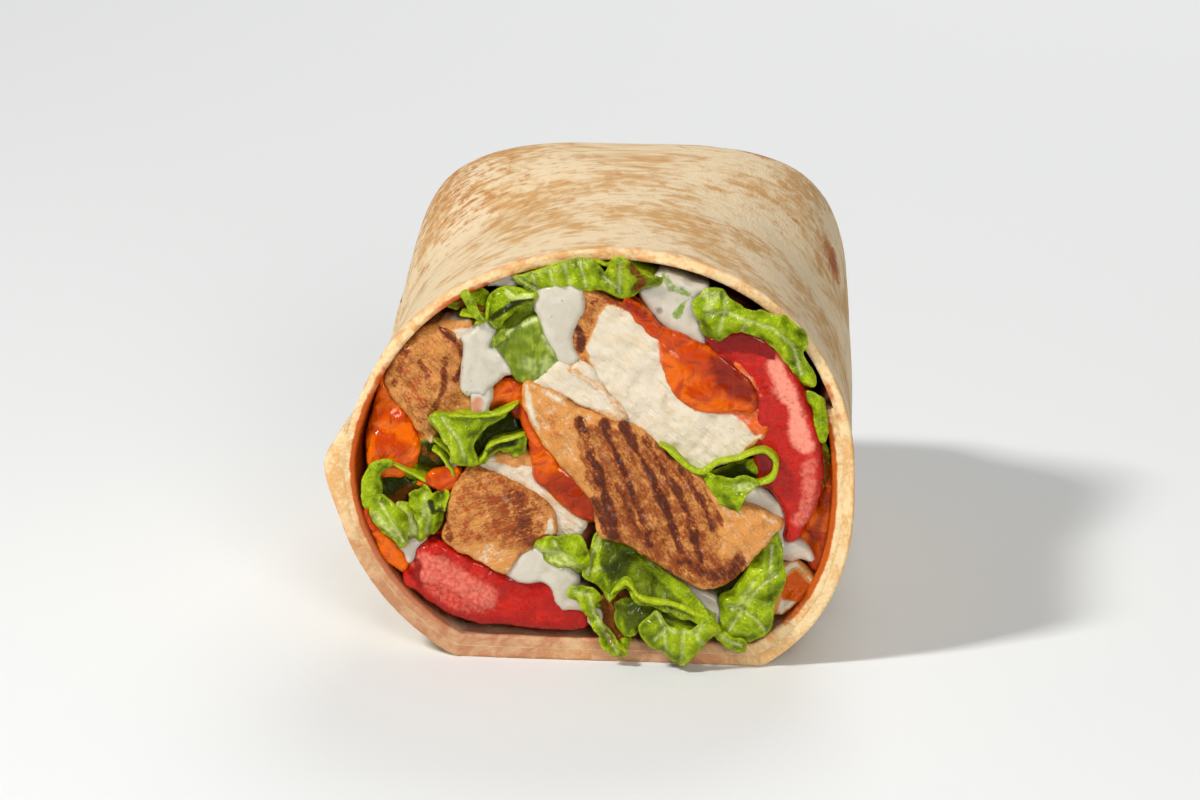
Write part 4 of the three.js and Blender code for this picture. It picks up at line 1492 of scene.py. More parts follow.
    corner_chunk: Slab = Slab(
        [(-29.3, 39.6), (-28.9, 41.2), (-27.9, 43.2), (-26.4, 44.8), (-24.8, 46.3), (-23.3, 47.4),
         (-21.2, 47.9), (-19.6, 47.4), (-18.3, 45.2), (-18.0, 43.4), (-18.3, 41.8), (-18.0, 39.6),
         (-17.7, 38.0), (-16.0, 36.9), (-15.4, 34.5), (-17.8, 34.0), (-21.7, 34.0), (-22.3, 32.1),
         (-22.7, 31.0), (-23.8, 31.2), (-24.9, 32.9), (-26.4, 35.3), (-28.2, 37.6)],
        front=0.4, back=22.0, edge=1.2, dome=(0.3, 2.5), lumps=(0.9, 2.6), grain=-45.0, seed=11,
        tilt=(0.03, 0.0), fibre=0.35,
        marks=(
            Mark("brown", [(-30.5, 39.4), (-27.5, 45.8), (-22.0, 49.3), (-16.2, 47.5), (-16.5, 40.3),
                (-18.9, 34.7), (-23.4, 31.4), (-27.9, 35.6)], 1.0, 0.68, 1.0, True),
            Mark("brown", [(-23.4, 36.6), (-17.8, 39.4), (-15.3, 35.6),
                (-22.5, 31.4)], 0.8, 0.6, 0.8, True),
            Mark("char", [(-21.1, 47.6), (-18.9, 45.4), (-17.8, 42.9), (-19.3, 40.3)], 0.55, 0.85, 0.6),
            Mark("char", [(-20.5, 43.6), (-20.9, 39.4), (-22.7, 35.2)], 0.5, 0.7, 0.6),
            Mark("char", [(-25.9, 45.0), (-27.0, 42.9), (-27.9, 39.4)], 0.4, 0.55, 0.5),
            Mark("char", [(-24.3, 42.9), (-22.9, 40.8)], 0.4, 0.6, 0.5),
            Mark("spice", [(-28.3, 40.3), (-23.4, 44.0), (-21.6, 40.3), (-22.9, 35.2),
                (-26.5, 36.1)], 0.8, 0.9, 0.8, True)))
    tucked_strip: Slab = Slab(
        [(-17.1, 27.3), (-15.9, 28.4), (-14.0, 29.5), (-11.4, 29.9), (-8.8, 30.0), (-8.0, 28.5),
         (-6.7, 26.7), (-4.7, 24.6), (-2.5, 22.7), (-1.0, 20.7), (-1.9, 18.5), (-3.5, 17.6), (-4.9, 18.0),
         (-6.0, 19.4), (-6.5, 21.8), (-8.8, 23.2), (-11.9, 24.3), (-14.5, 25.9)],
        front=0.0, back=24.0, edge=0.8, lumps=(0.3, 2.4), grain=-35.0, seed=13, tilt=(0.0, 0.05),
        marks=(
            Mark("brown", [(-17.1, 27.3), (-8.8, 30.0), (-1.0, 20.7), (-3.5, 17.6),
                (-8.8, 23.2)], 2.0, 0.2, 0.8, True),
            Mark("brown", [(-14.7, 28.5), (-11.4, 29.9), (-8.3, 29.9), (-8.1, 27.9), (-10.9, 28.1),
                (-14.0, 28.5)], 0.5, 0.5, 0.4, True),
            Mark("brown", [(-6.0, 19.4), (-5.2, 17.8), (-3.1, 17.7)], 0.4, 0.45, 0.4),
            Mark("sauce", [(-8.3, 28.5), (-6.5, 26.1), (-4.7, 24.4), (-2.3, 22.4)], 0.4, 0.5, 0.3)))
    edge_piece: Slab = Slab(
        [(25.5, 7.5), (25.1, 9.7), (26.1, 11.5), (26.7, 13.0), (27.1, 14.8), (28.4, 15.6), (30.0, 14.5),
         (31.4, 12.7), (32.0, 11.0), (30.9, 10.0), (28.9, 9.5), (27.4, 8.3)],
        front=0.8, back=20.0, edge=0.7, lumps=(0.5, 1.5), grain=40.0, seed=17, ragged=0.3,
        marks=(
            Mark("sauce", [(26.5, 12.7), (28.9, 15.1), (32.0, 11.0), (28.9, 9.7),
                (26.8, 9.7)], 0.6, 0.85, 0.6, True),
            Mark("brown", [(25.5, 7.5), (26.0, 11.5), (28.9, 13.9), (31.8, 11.2)], 0.8, 0.5, 0.5)))
    BROWNED: ClassVar[tuple[str, ...]] = ("grilled_strip", "browned_chunk", "corner_chunk", "edge_piece")
    CORNER_SHRED: ClassVar[Slab] = Slab(
        [(-21.4, 48.3), (-19.6, 48.9), (-17.8, 48.7), (-16.5, 48.5), (-17.3, 47.3), (-18.3, 46.3),
         (-19.4, 46.6), (-20.2, 47.5)],
        front=1.4, back=14.0, edge=0.6, seed=19,
        marks=(Mark("brown", [(-21.4, 48.3), (-16.5, 48.5)], 0.6, 0.5, 0.4),))
    PALE_SHRED: ClassVar[Slab] = Slab(
        [(-8.5, 40.4), (-6.8, 41.6), (-4.8, 43.2), (-3.0, 42.8), (-1.7, 43.4), (-0.1, 42.4), (1.7, 39.8),
         (4.0, 36.9), (4.8, 35.3), (2.8, 35.1), (0.9, 36.3), (-1.5, 37.2), (-3.4, 38.2), (-5.4, 39.2),
         (-7.3, 39.7)],
        front=-1.9, back=10.0, edge=0.8, lumps=(0.25, 2.2), grain=-40.0, seed=21, fibre=0.2,
        marks=(Mark("brown", [(-3.0, 42.6), (1.7, 39.8), (4.8, 35.3), (-0.7, 36.7)], 0.8, 0.3, 0.6),))

    def build(self, maker: Maker) -> None:
        """Makes the chicken's pieces, with a crust round those that were browned."""
        meat = CookedMeat().material()
        for node, slab in vars(self).items():
            solid = slab.build().roughen(0.24, 1.1, slab.seed + 70, 3)
            side = solid.masks.pop("side")
            blank = np.zeros(len(side))
            crust = 0.5 * bell(solid.rim, 0.0, 0.7) if node in self.BROWNED else blank
            brown = np.maximum(solid.masks.get("brown", blank), crust)
            solid.masks["brown"] = np.maximum(brown, 0.75 * side)
            slot = Slot.BROWNED if node in self.BROWNED else Slot.CHICKEN
            maker.add(f"{node}_meat", solid, meat, slot, [node])
        maker.add("corner_shred", self.CORNER_SHRED.build(), meat, Slot.CHICKEN)
        maker.add("pale_shred", self.PALE_SHRED.build().roughen(0.15, 1.1, 91, 3), meat, Slot.CHICKEN)


@dataclass(frozen=True)
class Tomatoes:
    """The two slices of tomato, both seen on edge; each field stands for the CAD node of its name."""

    tomato_side: Slab = Slab(
        [(16.3, 46.8), (18.1, 48.1), (20.7, 48.7), (23.3, 48.1), (25.4, 46.8), (27.4, 44.3), (29.2, 41.3),
         (30.7, 37.1), (31.8, 33.4), (32.2, 28.9), (31.9, 25.9), (31.1, 23.5), (30.0, 21.3), (28.3, 18.6),
         (27.0, 19.1), (27.3, 21.3), (26.5, 23.8), (25.1, 25.9), (23.6, 26.8), (23.0, 29.8), (23.0, 32.8),
         (23.3, 35.3), (23.0, 37.7), (22.6, 40.4), (21.9, 41.3), (19.5, 42.8)],
        front=-1.0, back=26.0, edge=1.1, dome=(-0.5, 2.2), lumps=(0.22, 2.6), seed=23, shrink=0.1,
        marks=(
            # Painted highlight band down the slice.
            Mark("bloom", [(25.4, 44.0), (27.2, 40.8), (28.8, 36.6), (29.7, 32.6)], 1.3, 0.8, 0.9),
            Mark("bloom", [(30.6, 30.0), (30.4, 25.4), (29.3, 21.6)], 1.3, 0.42, 0.8),
            Mark("deep", [(16.0, 46.8), (18.4, 48.3), (21.0, 48.7), (23.3, 48.1), (25.4, 46.5),
                (26.2, 44.3), (23.0, 45.6), (19.5, 45.6), (17.2, 45.3)], 0.5, 0.95, 0.4, True),
            Mark("deep", [(23.0, 33.1), (24.2, 29.5), (24.8, 26.2)], 0.8, 0.7, 0.4),
            Mark("deep", [(18.9, 44.3), (21.9, 41.9), (23.0, 38.9), (23.3, 36.5)], 0.6, 0.55, 0.4),
            Mark("skin", [(26.0, 45.9), (28.3, 42.8), (30.3, 38.0), (31.8, 33.1), (32.1, 28.6),
                (30.9, 23.5)], 0.28, 0.5, 0.2)))
    tomato_base: Slab = Slab(
        [(-27.1, 11.4), (-26.2, 12.7), (-25.4, 13.7), (-25.2, 15.0), (-23.8, 16.0), (-22.2, 16.2),
         (-20.7, 15.6), (-18.1, 14.5), (-15.5, 13.4), (-13.4, 12.3), (-11.9, 11.9), (-10.1, 11.5),
         (-7.8, 11.4), (-5.7, 11.4), (-3.1, 10.6), (-1.0, 9.3), (-0.5, 7.4), (-0.9, 5.5), (-2.1, 4.6),
         (-5.7, 4.4), (-9.6, 4.6), (-13.4, 4.8), (-16.5, 5.0), (-20.2, 6.0), (-23.3, 7.8), (-25.3, 9.2),
         (-26.8, 10.0)],
        front=-0.9, back=26.0, edge=1.0, dome=(0.3, 2.0), lumps=(0.4, 2.4), seed=27, shrink=0.1,
        tilt=(0.0, 0.06),
        marks=(
            # Paler pink flesh with a painted highlight.
            Mark("bloom", [(-23.8, 13.0), (-21.2, 11.9), (-18.1, 10.3), (-15.0, 9.3)], 1.9, 0.45, 1.0),
            Mark("bloom", [(-23.8, 9.8), (-19.6, 7.9), (-16.0, 7.1)], 1.2, 0.3, 0.8),
            Mark("skin", [(-25.3, 9.2), (-20.2, 6.0), (-16.5, 5.2), (-9.6, 4.8),
                (-2.1, 4.7)], 0.9, 0.9, 0.3),
            Mark("deep", [(-26.4, 12.5), (-24.8, 10.3), (-25.3, 13.5)], 0.7, 0.7, 0.5),
            Mark("skin", [(-12.9, 10.9), (-7.0, 10.3), (-5.7, 7.7), (-1.0, 6.6)], 1.4, 0.6, 0.5)))

    def build(self, maker: Maker) -> None:
        """Makes the slices."""
        pulp = RipeFlesh().material()
        for node, slab in vars(self).items():
            maker.add(f"{node}_flesh", slab.build(), pulp, Slot.TOMATO, [node])


@dataclass(frozen=True)
class Celery:
    """The dice of celery: its front face and the top face behind it."""

    front: Slab = Slab(
        [(-13.7, 46.0), (-13.2, 46.6), (-10.9, 48.0), (-7.7, 49.5), (-6.7, 47.1), (-5.7, 45.2),
         (-4.5, 43.2), (-4.9, 42.4), (-6.7, 41.2), (-8.5, 40.5), (-10.1, 40.6), (-11.0, 41.4),
         (-11.9, 43.4)],
        front=-1.3, back=16.0, edge=0.45, lumps=(0.12, 2.0), seed=31, shrink=0.02, tilt=(0.0, 0.1),
        marks=(
            # Pale marks: painted highlights along the top and right edges, and a paler patch in the middle
            # of the front.
            Mark("pale", [(-13.7, 46.1), (-10.9, 47.9), (-7.9, 49.4)], 0.3, 1.0, 0.25),
            Mark("pale", [(-6.7, 47.1), (-4.5, 43.1), (-6.7, 41.2)], 0.3, 0.45, 0.3),
            Mark("dark", [(-11.1, 46.6), (-10.1, 45.0), (-10.3, 42.3)], 1.0, 0.5, 0.8),
            Mark("pale", [(-9.6, 43.4), (-7.5, 42.3), (-6.0, 43.4)], 0.8, 0.35, 0.6)))
    top: Slab = Slab(
        [(-13.6, 46.3), (-12.5, 48.3), (-10.7, 50.0), (-8.5, 51.5), (-7.7, 51.9), (-7.3, 49.8),
         (-7.6, 49.1), (-10.6, 47.7), (-13.2, 46.2)],
        front=0.4, back=14.0, edge=0.4, lumps=(0.1, 2.0), seed=33, tilt=(0.0, 0.9), shrink=0.0,
        marks=(Mark("dark", [(-11.4, 49.0), (-8.8, 50.6), (-7.6, 51.7)], 0.5, 0.7, 0.3),))

    def build(self, maker: Maker) -> None:
        """Makes the dice."""
        solid = self.front.build().joined([self.top.build()])
        maker.add("celery_dice", solid, CrispStalk().material(), Slot.CELERY, ["celery_piece"])


@dataclass(frozen=True)
class Lettuce:
    """The leaves of lettuce, some seen flat on and some on their edges.

    Each field is the group of leaves that stands for the CAD node of its name. Their dark marks are painted
    shade, in hollows and on leaves that lie deeper in the roll; their pale marks are partly paler leaf and
    partly painted highlight.
    """

    lettuce_crest: Parts = (
        Leaf(
            [(-10.9, 55.4), (-9.2, 56.0), (-6.2, 56.9), (-3.3, 58.1), (-0.3, 58.5), (0.9, 57.6),
             (1.9, 56.5), (2.8, 58.2), (4.1, 58.9), (5.2, 58.2), (6.1, 57.0), (7.8, 56.0), (9.7, 55.7),
             (9.0, 54.9), (6.9, 54.5), (5.4, 53.2), (3.5, 53.3), (1.7, 54.0), (-1.0, 54.2), (-3.8, 54.1),
             (-6.0, 53.7), (-8.0, 53.1), (-9.2, 54.0)],
            front=-1.2, ruffle=(0.5, 2.6), tilt=(0.0, -0.25), seed=41, curl=0.4,
            ribs=([(-8.2, 56.0), (-7.6, 53.5)], [(-5.7, 57.0), (-4.9, 53.9)], [(-3.8, 57.7), (-2.7, 54.3)],
                [(-1.5, 58.1), (-0.7, 54.5)], [(-10.2, 55.3), (-7.2, 53.2)], [(1.7, 56.0), (4.1, 54.0)],
                [(4.1, 58.6), (4.1, 55.5), (3.9, 53.7)]),
            marks=(
                Mark("pale", [(-10.9, 55.4), (-6.2, 56.9), (-0.3, 58.3)], 0.7, 0.45, 0.4),
                Mark("rust", [(5.5, 57.7), (7.4, 55.5), (6.1, 54.0)], 0.55, 0.7, 0.4),
                Mark("dark", [(1.2, 57.1), (3.2, 54.5), (3.9, 53.7)], 0.5, 0.5, 0.4),
                Mark("rust", [(1.7, 57.6), (6.6, 57.6), (9.1, 56.0)], 0.5, 0.4, 0.4))),
        Frill(
            [(-10.8, 55.1), (-8.2, 55.8), (-4.3, 57.3), (0.2, 58.0), (2.4, 57.3), (4.1, 58.4), (6.6, 56.6),
             (9.3, 55.5)],
            front=-0.6, width=0.7, seed=42))
    lettuce_corner: Parts = (
        Leaf(
            [(-14.6, 49.4), (-14.6, 50.9), (-14.4, 51.9), (-13.4, 53.2), (-12.1, 53.8), (-10.6, 53.8),
             (-8.8, 53.1), (-7.8, 53.2), (-8.0, 52.4), (-9.2, 51.9), (-10.6, 51.1), (-12.1, 49.8),
             (-13.2, 48.3), (-14.1, 48.6)],
            front=-1.4, ruffle=(0.9, 2.4), seed=43, curl=0.6,
            marks=(
                Mark("dark", [(-14.1, 49.3), (-12.7, 50.6), (-10.9, 51.7), (-8.5, 52.3)], 0.55, 1.0, 0.3),
                Mark("pale", [(-11.9, 53.4), (-10.6, 52.5), (-8.5, 52.9)], 0.4, 0.8, 0.3))),
        Leaf(
            [(-17.9, 53.1), (-17.3, 53.1), (-16.7, 51.9), (-15.9, 50.3), (-15.0, 49.1), (-15.6, 49.1),
             (-16.4, 49.8), (-17.3, 51.1), (-17.7, 52.2)],
            front=-1.8, ruffle=(0.4, 2.0), seed=44, curl=0.2,
            marks=(Mark("pale", [(-17.6, 53.0), (-15.2, 49.3)], 0.3, 0.4, 0.2),)),
        Frill([(-18.6, 49.8), (-17.3, 49.7), (-16.0, 49.5), (-15.0, 49.1)], front=-1.4, width=0.5, seed=45),
        Frill(
            [(-16.5, 48.7), (-15.6, 49.1), (-15.0, 49.4), (-14.7, 50.9), (-14.4, 51.9)],
            front=-1.2, width=0.5, seed=46),
        Leaf(
            [(-20.2, 51.5), (-17.8, 53.0), (-16.0, 53.4), (-14.5, 53.0), (-14.6, 50.9), (-15.2, 49.5),
             (-16.5, 49.8), (-18.1, 50.9), (-19.1, 50.6)],
            front=1.6, ruffle=(0.5, 2.4), seed=47,
            marks=(
                Mark("rust", [(-20.2, 51.5), (-17.1, 52.5), (-15.0, 50.3),
                    (-18.1, 50.9)], 1.0, 0.9, 0.8, True),)))
    lettuce_side: Parts = (
        Leaf(
            [(14.6, 52.7), (15.3, 54.0), (16.2, 54.8), (18.1, 54.4), (19.5, 53.0), (21.9, 51.8),
             (24.8, 51.2), (27.0, 50.6), (29.5, 48.4), (29.7, 46.7), (29.2, 45.6), (30.2, 43.4),
             (31.2, 41.6), (30.2, 40.8), (28.9, 41.2), (28.0, 43.9), (26.4, 45.3), (24.8, 47.2),
             (22.4, 48.5), (20.1, 48.5), (18.5, 47.9), (17.0, 46.9), (15.7, 48.0), (15.1, 50.1)],
            front=-2.0, ruffle=(0.9, 3.2), tilt=(0.04, -0.1), seed=51, curl=0.7,
            ribs=([(16.0, 51.0), (18.7, 51.6), (21.9, 50.4), (25.4, 49.2), (28.0, 46.8), (29.3, 42.5)],
                [(18.7, 54.0), (18.7, 51.6), (17.8, 48.6)], [(21.9, 50.4), (21.0, 48.6)]),
            marks=(
                Mark("pale", [(15.7, 54.3), (17.2, 53.7), (16.3, 52.2)], 0.8, 0.7, 0.5),
                Mark("dark", [(20.1, 48.6), (24.8, 47.4), (28.0, 44.0)], 0.35, 0.5, 0.3))),
        Leaf(
            [(29.6, 39.7), (31.8, 39.6), (32.5, 38.0), (32.8, 34.7), (32.1, 33.3), (31.5, 35.4),
             (30.9, 38.1)],
            front=-0.8, ruffle=(0.5, 2.0), seed=52, curl=0.3,
            marks=(Mark("dark", [(31.5, 37.7), (32.1, 34.1)], 0.3, 0.4, 0.2),)),
        Leaf(
            [(31.9, 33.1), (33.0, 31.9), (33.4, 28.9), (33.7, 25.9), (33.0, 25.1), (32.1, 26.2),
             (32.0, 29.8)],
            front=1.2, ruffle=(0.4, 2.0), seed=53,
            marks=(Mark("rust", [(32.1, 32.8), (33.3, 27.4)], 0.8, 0.8, 0.5),)))
    lettuce_cup: Parts = (
        Leaf(
            [(-22.7, 35.0), (-21.2, 35.3), (-18.6, 35.2), (-16.0, 35.3), (-13.4, 35.6), (-12.1, 36.1),
             (-13.4, 34.6), (-15.1, 33.8), (-16.5, 32.3), (-17.1, 30.4), (-16.4, 28.8), (-17.3, 28.1),
             (-18.9, 28.5), (-19.7, 29.6), (-20.2, 31.0), (-21.4, 32.8), (-22.4, 34.1)],
            front=-1.6, ruffle=(0.5, 3.0), tilt=(0.1, 0.0), seed=57, curl=0.3,
            ribs=([(-21.2, 35.0), (-18.9, 32.0), (-18.1, 28.8)],),
            marks=(
                Mark("dark", [(-14.7, 33.9), (-16.8, 32.3), (-17.3, 30.2), (-16.8, 28.8)], 0.45, 0.6, 0.3),
                Mark("pale", [(-22.5, 34.8), (-21.2, 32.8), (-19.6, 29.9)], 0.3, 0.5, 0.2))),
        Frill(
            [(-22.7, 35.0), (-18.6, 35.2), (-14.5, 35.4), (-12.1, 36.2), (-10.5, 37.2)],
            front=-1.7, width=0.55, seed=58),
        Leaf(
            [(-10.6, 36.7), (-9.8, 35.2), (-9.3, 33.9), (-9.6, 32.7), (-11.9, 32.2), (-14.2, 31.3),
             (-15.2, 30.0), (-16.4, 28.6), (-17.0, 30.3), (-16.5, 32.2), (-15.0, 33.7), (-13.4, 34.5),
             (-12.1, 35.9)],
            front=2.6, ruffle=(0.6, 2.6), seed=59,
            marks=(
                Mark("dark", [(-10.6, 36.7), (-9.3, 33.9), (-11.9, 32.2), (-16.4, 28.6), (-17.0, 30.3),
                    (-15.0, 33.7), (-12.1, 35.9)], 0.6, 1.0, 0.2, True),)),
        Frill(
            [(-16.5, 28.2), (-15.6, 29.3), (-14.9, 30.7), (-13.8, 31.4), (-11.9, 32.0), (-9.6, 32.7)],
            front=-1.5, width=0.55, seed=60),
        Leaf(
            [(-16.4, 28.2), (-15.4, 29.7), (-14.2, 31.2), (-11.9, 32.1), (-9.6, 32.6), (-9.6, 31.2),
             (-10.1, 30.0), (-11.1, 29.9), (-12.4, 30.3), (-13.4, 30.4), (-14.7, 29.6), (-15.4, 28.5)],
            front=-0.6, ruffle=(0.9, 1.8), seed=61, curl=0.5,
            marks=(Mark("dark", [(-15.2, 30.2), (-13.6, 31.4), (-11.1, 31.8)], 0.7, 0.95, 0.4),)))
    lettuce_left: Parts = (
        Leaf(
            [(-32.2, 21.5), (-32.7, 23.6), (-32.4, 25.6), (-31.4, 27.6), (-30.0, 28.4), (-28.5, 28.2),
             (-29.1, 27.2), (-30.2, 26.6), (-30.2, 24.8), (-30.4, 23.1), (-31.0, 21.9)],
            front=-1.0, ruffle=(0.5, 2.4), seed=63, curl=0.5),
        Frill(
            [(-29.4, 28.0), (-28.1, 27.8), (-26.5, 27.0), (-24.9, 26.4), (-23.6, 25.6)],
            front=-0.6, width=0.45, seed=70),
        Leaf(
            [(-30.4, 22.7), (-30.2, 26.0), (-28.5, 27.6), (-24.9, 26.2), (-23.4, 25.2), (-24.2, 23.6),
             (-25.3, 22.3), (-26.1, 20.7), (-28.5, 20.7)],
            front=2.2, ruffle=(0.8, 2.4), seed=62,
            marks=(
                Mark("dark", [(-30.4, 22.7), (-30.2, 26.0), (-28.5, 27.6), (-24.9, 26.2), (-25.3, 22.3),
                    (-26.1, 20.7), (-28.5, 20.7)], 1.0, 0.9, 0.6, True),
                Mark("rust", [(-29.2, 21.5), (-27.3, 22.7), (-25.7, 24.0)], 1.2, 0.8, 0.6))),
        Frill([(-22.8, 30.2), (-21.6, 29.2), (-20.4, 27.6), (-19.8, 26.2)], front=-0.8, width=0.5, seed=56),
        Leaf(
            [(-31.6, 21.0), (-31.5, 22.6), (-30.4, 23.0), (-29.7, 22.8), (-28.4, 21.8), (-26.8, 20.5),
             (-26.5, 18.3), (-26.9, 16.0), (-28.2, 16.9), (-30.0, 18.0), (-31.2, 19.9)],
            front=-1.2, ruffle=(0.8, 2.6), seed=64, curl=0.5,
            ribs=([(-30.7, 22.7), (-28.9, 20.5), (-27.1, 16.5)],),
            marks=(Mark("pale", [(-30.7, 20.5), (-29.5, 18.9), (-27.9, 17.8)], 0.9, 0.6, 0.5),)),
        Leaf(
            [(-26.1, 23.1), (-24.8, 23.9), (-23.8, 24.7), (-22.6, 23.7), (-20.6, 23.9), (-20.9, 22.6),
             (-21.4, 20.5), (-22.4, 18.3), (-23.8, 17.5), (-24.4, 17.8), (-24.8, 19.4), (-25.6, 21.0)],
            front=-0.6, ruffle=(1.2, 1.8), seed=65, curl=0.7,
            ribs=([(-23.8, 23.7), (-23.3, 20.5), (-23.8, 17.8)],),
            marks=(
                Mark("dark", [(-23.0, 22.7), (-22.7, 21.0), (-21.4, 21.6)], 0.4, 0.9, 0.4),
                Mark("pale", [(-24.8, 19.4), (-24.0, 20.5), (-23.8, 22.1)], 0.3, 0.6, 0.3))),
        Leaf(
            [(-27.9, 21.7), (-26.4, 22.1), (-25.2, 20.5), (-24.7, 18.9), (-24.0, 17.7), (-24.8, 17.0),
             (-26.4, 17.8), (-26.9, 19.7)],
            front=0.2, ruffle=(0.3, 2.4), seed=66,
            marks=(
                Mark("pale", [(-27.9, 21.7), (-25.2, 20.5), (-24.0, 17.7),
                    (-26.4, 17.8)], 1.2, 1.0, 0.3, True),)),
        Leaf(
            [(-28.9, 26.7), (-27.9, 28.2), (-26.4, 28.1), (-24.8, 27.5), (-23.5, 26.7), (-24.0, 25.3),
             (-25.3, 24.3), (-26.9, 24.3), (-28.2, 24.8)],
            front=1.8, ruffle=(0.6, 2.0), seed=67,
            marks=(Mark("dark", [(-28.9, 26.7), (-26.9, 28.0), (-27.9, 25.3)], 0.6, 0.9, 0.4),)),
        Leaf(
            [(-25.8, 28.5), (-24.8, 30.3), (-23.8, 31.6), (-22.5, 31.2), (-21.1, 29.9), (-20.2, 28.5),
             (-20.5, 27.3), (-22.7, 27.2), (-24.5, 27.9)],
            front=1.6, ruffle=(0.4, 2.4), seed=68,
            marks=(
                Mark("dark", [(-25.8, 28.5), (-23.8, 31.6), (-21.1, 29.9), (-20.5, 27.3),
                    (-22.7, 27.2)], 0.8, 1.0, 0.4, True),
                Mark("rust", [(-23.8, 30.4), (-22.2, 29.1)], 0.7, 0.7, 0.5))),
        Frill([(-22.6, 31.6), (-21.2, 30.4), (-20.2, 29.2), (-19.6, 28.0)], front=-0.2, width=0.4, seed=69))
    lettuce_under: Parts = (
        Leaf(
            [(-1.2, 12.7), (-0.5, 15.1), (0.7, 18.4), (2.6, 17.8), (5.5, 16.3), (9.0, 13.8), (11.9, 11.9),
             (14.9, 9.5), (16.2, 7.7), (15.4, 6.8), (13.7, 7.4), (11.4, 8.0), (8.4, 8.8), (6.4, 9.2),
             (4.9, 11.0), (3.8, 10.9), (2.3, 9.7), (1.0, 11.2)],
            front=-1.4, ruffle=(0.6, 3.6), tilt=(0.0, 0.34), seed=71, curl=0.2,
            ribs=([(0.8, 18.1), (-0.3, 15.1), (-0.9, 12.8)],),
            marks=(
                Mark("dark", [(1.0, 18.2), (4.3, 16.7), (7.6, 14.3), (10.9, 11.4), (13.2, 9.4), (15.5, 7.5),
                    (12.7, 8.0), (9.0, 8.9), (6.2, 10.4), (4.7, 11.9), (3.3, 11.9), (2.2, 10.4),
                    (1.5, 12.4), (0.5, 14.3)], 0.9, 0.66, 0.5, True),
                Mark("pale", [(-0.8, 13.0), (0.8, 13.9), (2.3, 13.3)], 0.45, 0.6, 0.4))),
        Frill(
            [(2.2, 9.7), (3.0, 10.7), (4.1, 11.7), (5.1, 11.2), (6.4, 9.2), (10.2, 8.6), (14.3, 7.3),
             (16.9, 6.5)],
            front=-3.6, width=0.8, wave=(0.3, 3.0), seed=72),
        Leaf(
            [(-8.8, 16.4), (-7.2, 17.8), (-4.7, 17.9), (-2.1, 18.4), (-1.2, 17.0), (-0.9, 14.3),
             (-2.3, 12.9), (-3.6, 13.5), (-6.0, 14.3), (-8.0, 15.6)],
            front=-1.6, ruffle=(0.8, 2.6), seed=73, curl=0.5,
            ribs=([(-8.3, 16.2), (-5.2, 15.7), (-1.8, 13.5)], [(-5.7, 17.3), (-4.7, 15.7), (-3.1, 15.2)]),
            marks=(Mark("pale", [(-7.8, 16.2), (-5.7, 15.2), (-3.1, 13.8)], 1.1, 0.55, 0.7),)))
    lettuce_fringe: Parts = (
        Leaf(
            [(6.4, 5.4), (7.6, 6.5), (8.7, 7.4), (9.7, 5.7), (11.4, 5.1), (13.7, 5.1), (15.3, 6.3),
             (16.7, 6.6), (17.4, 5.1), (15.8, 4.1), (15.2, 2.9), (14.0, 1.8), (13.1, 1.0), (12.0, 0.3),
             (10.8, 0.8), (9.6, 2.0), (7.6, 2.9), (6.6, 4.1)],
            front=-3.7, ruffle=(0.6, 2.8), tilt=(0.0, 0.12), seed=75, curl=0.5,
            ribs=([(8.7, 7.2), (9.7, 5.1), (10.0, 2.1)], [(12.5, 4.9), (12.3, 2.5), (12.2, 0.6)],
                [(14.0, 5.1), (14.6, 4.1), (15.2, 3.1)], [(9.9, 5.1), (8.4, 3.5)],
                [(15.3, 6.2), (14.3, 4.8)], [(10.2, 5.1), (12.5, 4.8), (14.3, 5.1)])),
        Leaf(
            [(3.1, 8.3), (4.3, 9.2), (6.4, 8.6), (9.0, 7.8), (11.4, 7.5), (14.3, 6.9), (15.1, 6.0),
             (13.7, 5.1), (11.4, 5.1), (9.7, 5.8), (8.6, 7.2), (6.7, 5.5), (6.1, 4.6), (4.6, 4.1),
             (3.6, 5.1)],
            front=-1.8, ruffle=(0.5, 2.4), seed=76, curl=0.3,
            marks=(
                Mark("dark", [(3.1, 8.3), (6.4, 8.6), (8.4, 7.5), (6.4, 5.4),
                    (4.6, 4.1)], 0.7, 0.75, 0.5, True),
                Mark("dark", [(9.6, 7.1), (11.9, 6.5), (14.3, 6.2)], 0.5, 0.75, 0.4))),
        Leaf(
            [(-3.6, 9.8), (-3.3, 10.9), (-2.1, 10.6), (-0.6, 10.5), (1.0, 9.4), (0.1, 9.0), (-0.2, 7.7),
             (0.7, 6.0), (1.7, 4.8), (2.9, 3.1), (4.3, 1.5), (3.5, 1.0), (2.3, 1.5), (1.0, 2.8), (0.8, 4.2),
             (-0.3, 5.7), (-1.5, 7.4), (-1.8, 8.6), (-3.0, 9.2)],
            front=-2.6, ruffle=(0.8, 1.8), seed=77, curl=0.5,
            ribs=([(-3.2, 10.3), (-0.6, 9.7), (-0.3, 7.5), (1.4, 4.2), (3.2, 1.5)],),
            marks=(Mark("rust", [(0.8, 4.8), (2.6, 2.7), (3.8, 1.3)], 0.5, 0.45, 0.5),)),
        Leaf(
            [(0.4, 9.2), (3.2, 9.3), (3.8, 7.2), (3.5, 5.1), (4.1, 3.6), (4.9, 3.6), (4.1, 1.3), (2.6, 3.6),
             (1.5, 5.4), (0.3, 7.2)],
            front=-1.2, ruffle=(0.6, 1.8), seed=78,
            marks=(
                Mark("rust", [(0.4, 9.2), (3.2, 9.3), (3.8, 5.1), (4.1, 2.1),
                    (1.5, 5.4)], 0.7, 1.0, 0.5, True),)),
        Leaf(
            [(17.1, 5.1), (18.4, 5.1), (19.5, 4.1), (21.2, 3.7), (20.9, 2.3), (19.5, 2.6), (18.1, 3.5)],
            front=-2.0, ruffle=(0.6, 1.8), seed=79, curl=0.4,
            ribs=([(17.5, 5.0), (19.2, 3.6), (20.8, 3.0)],)))
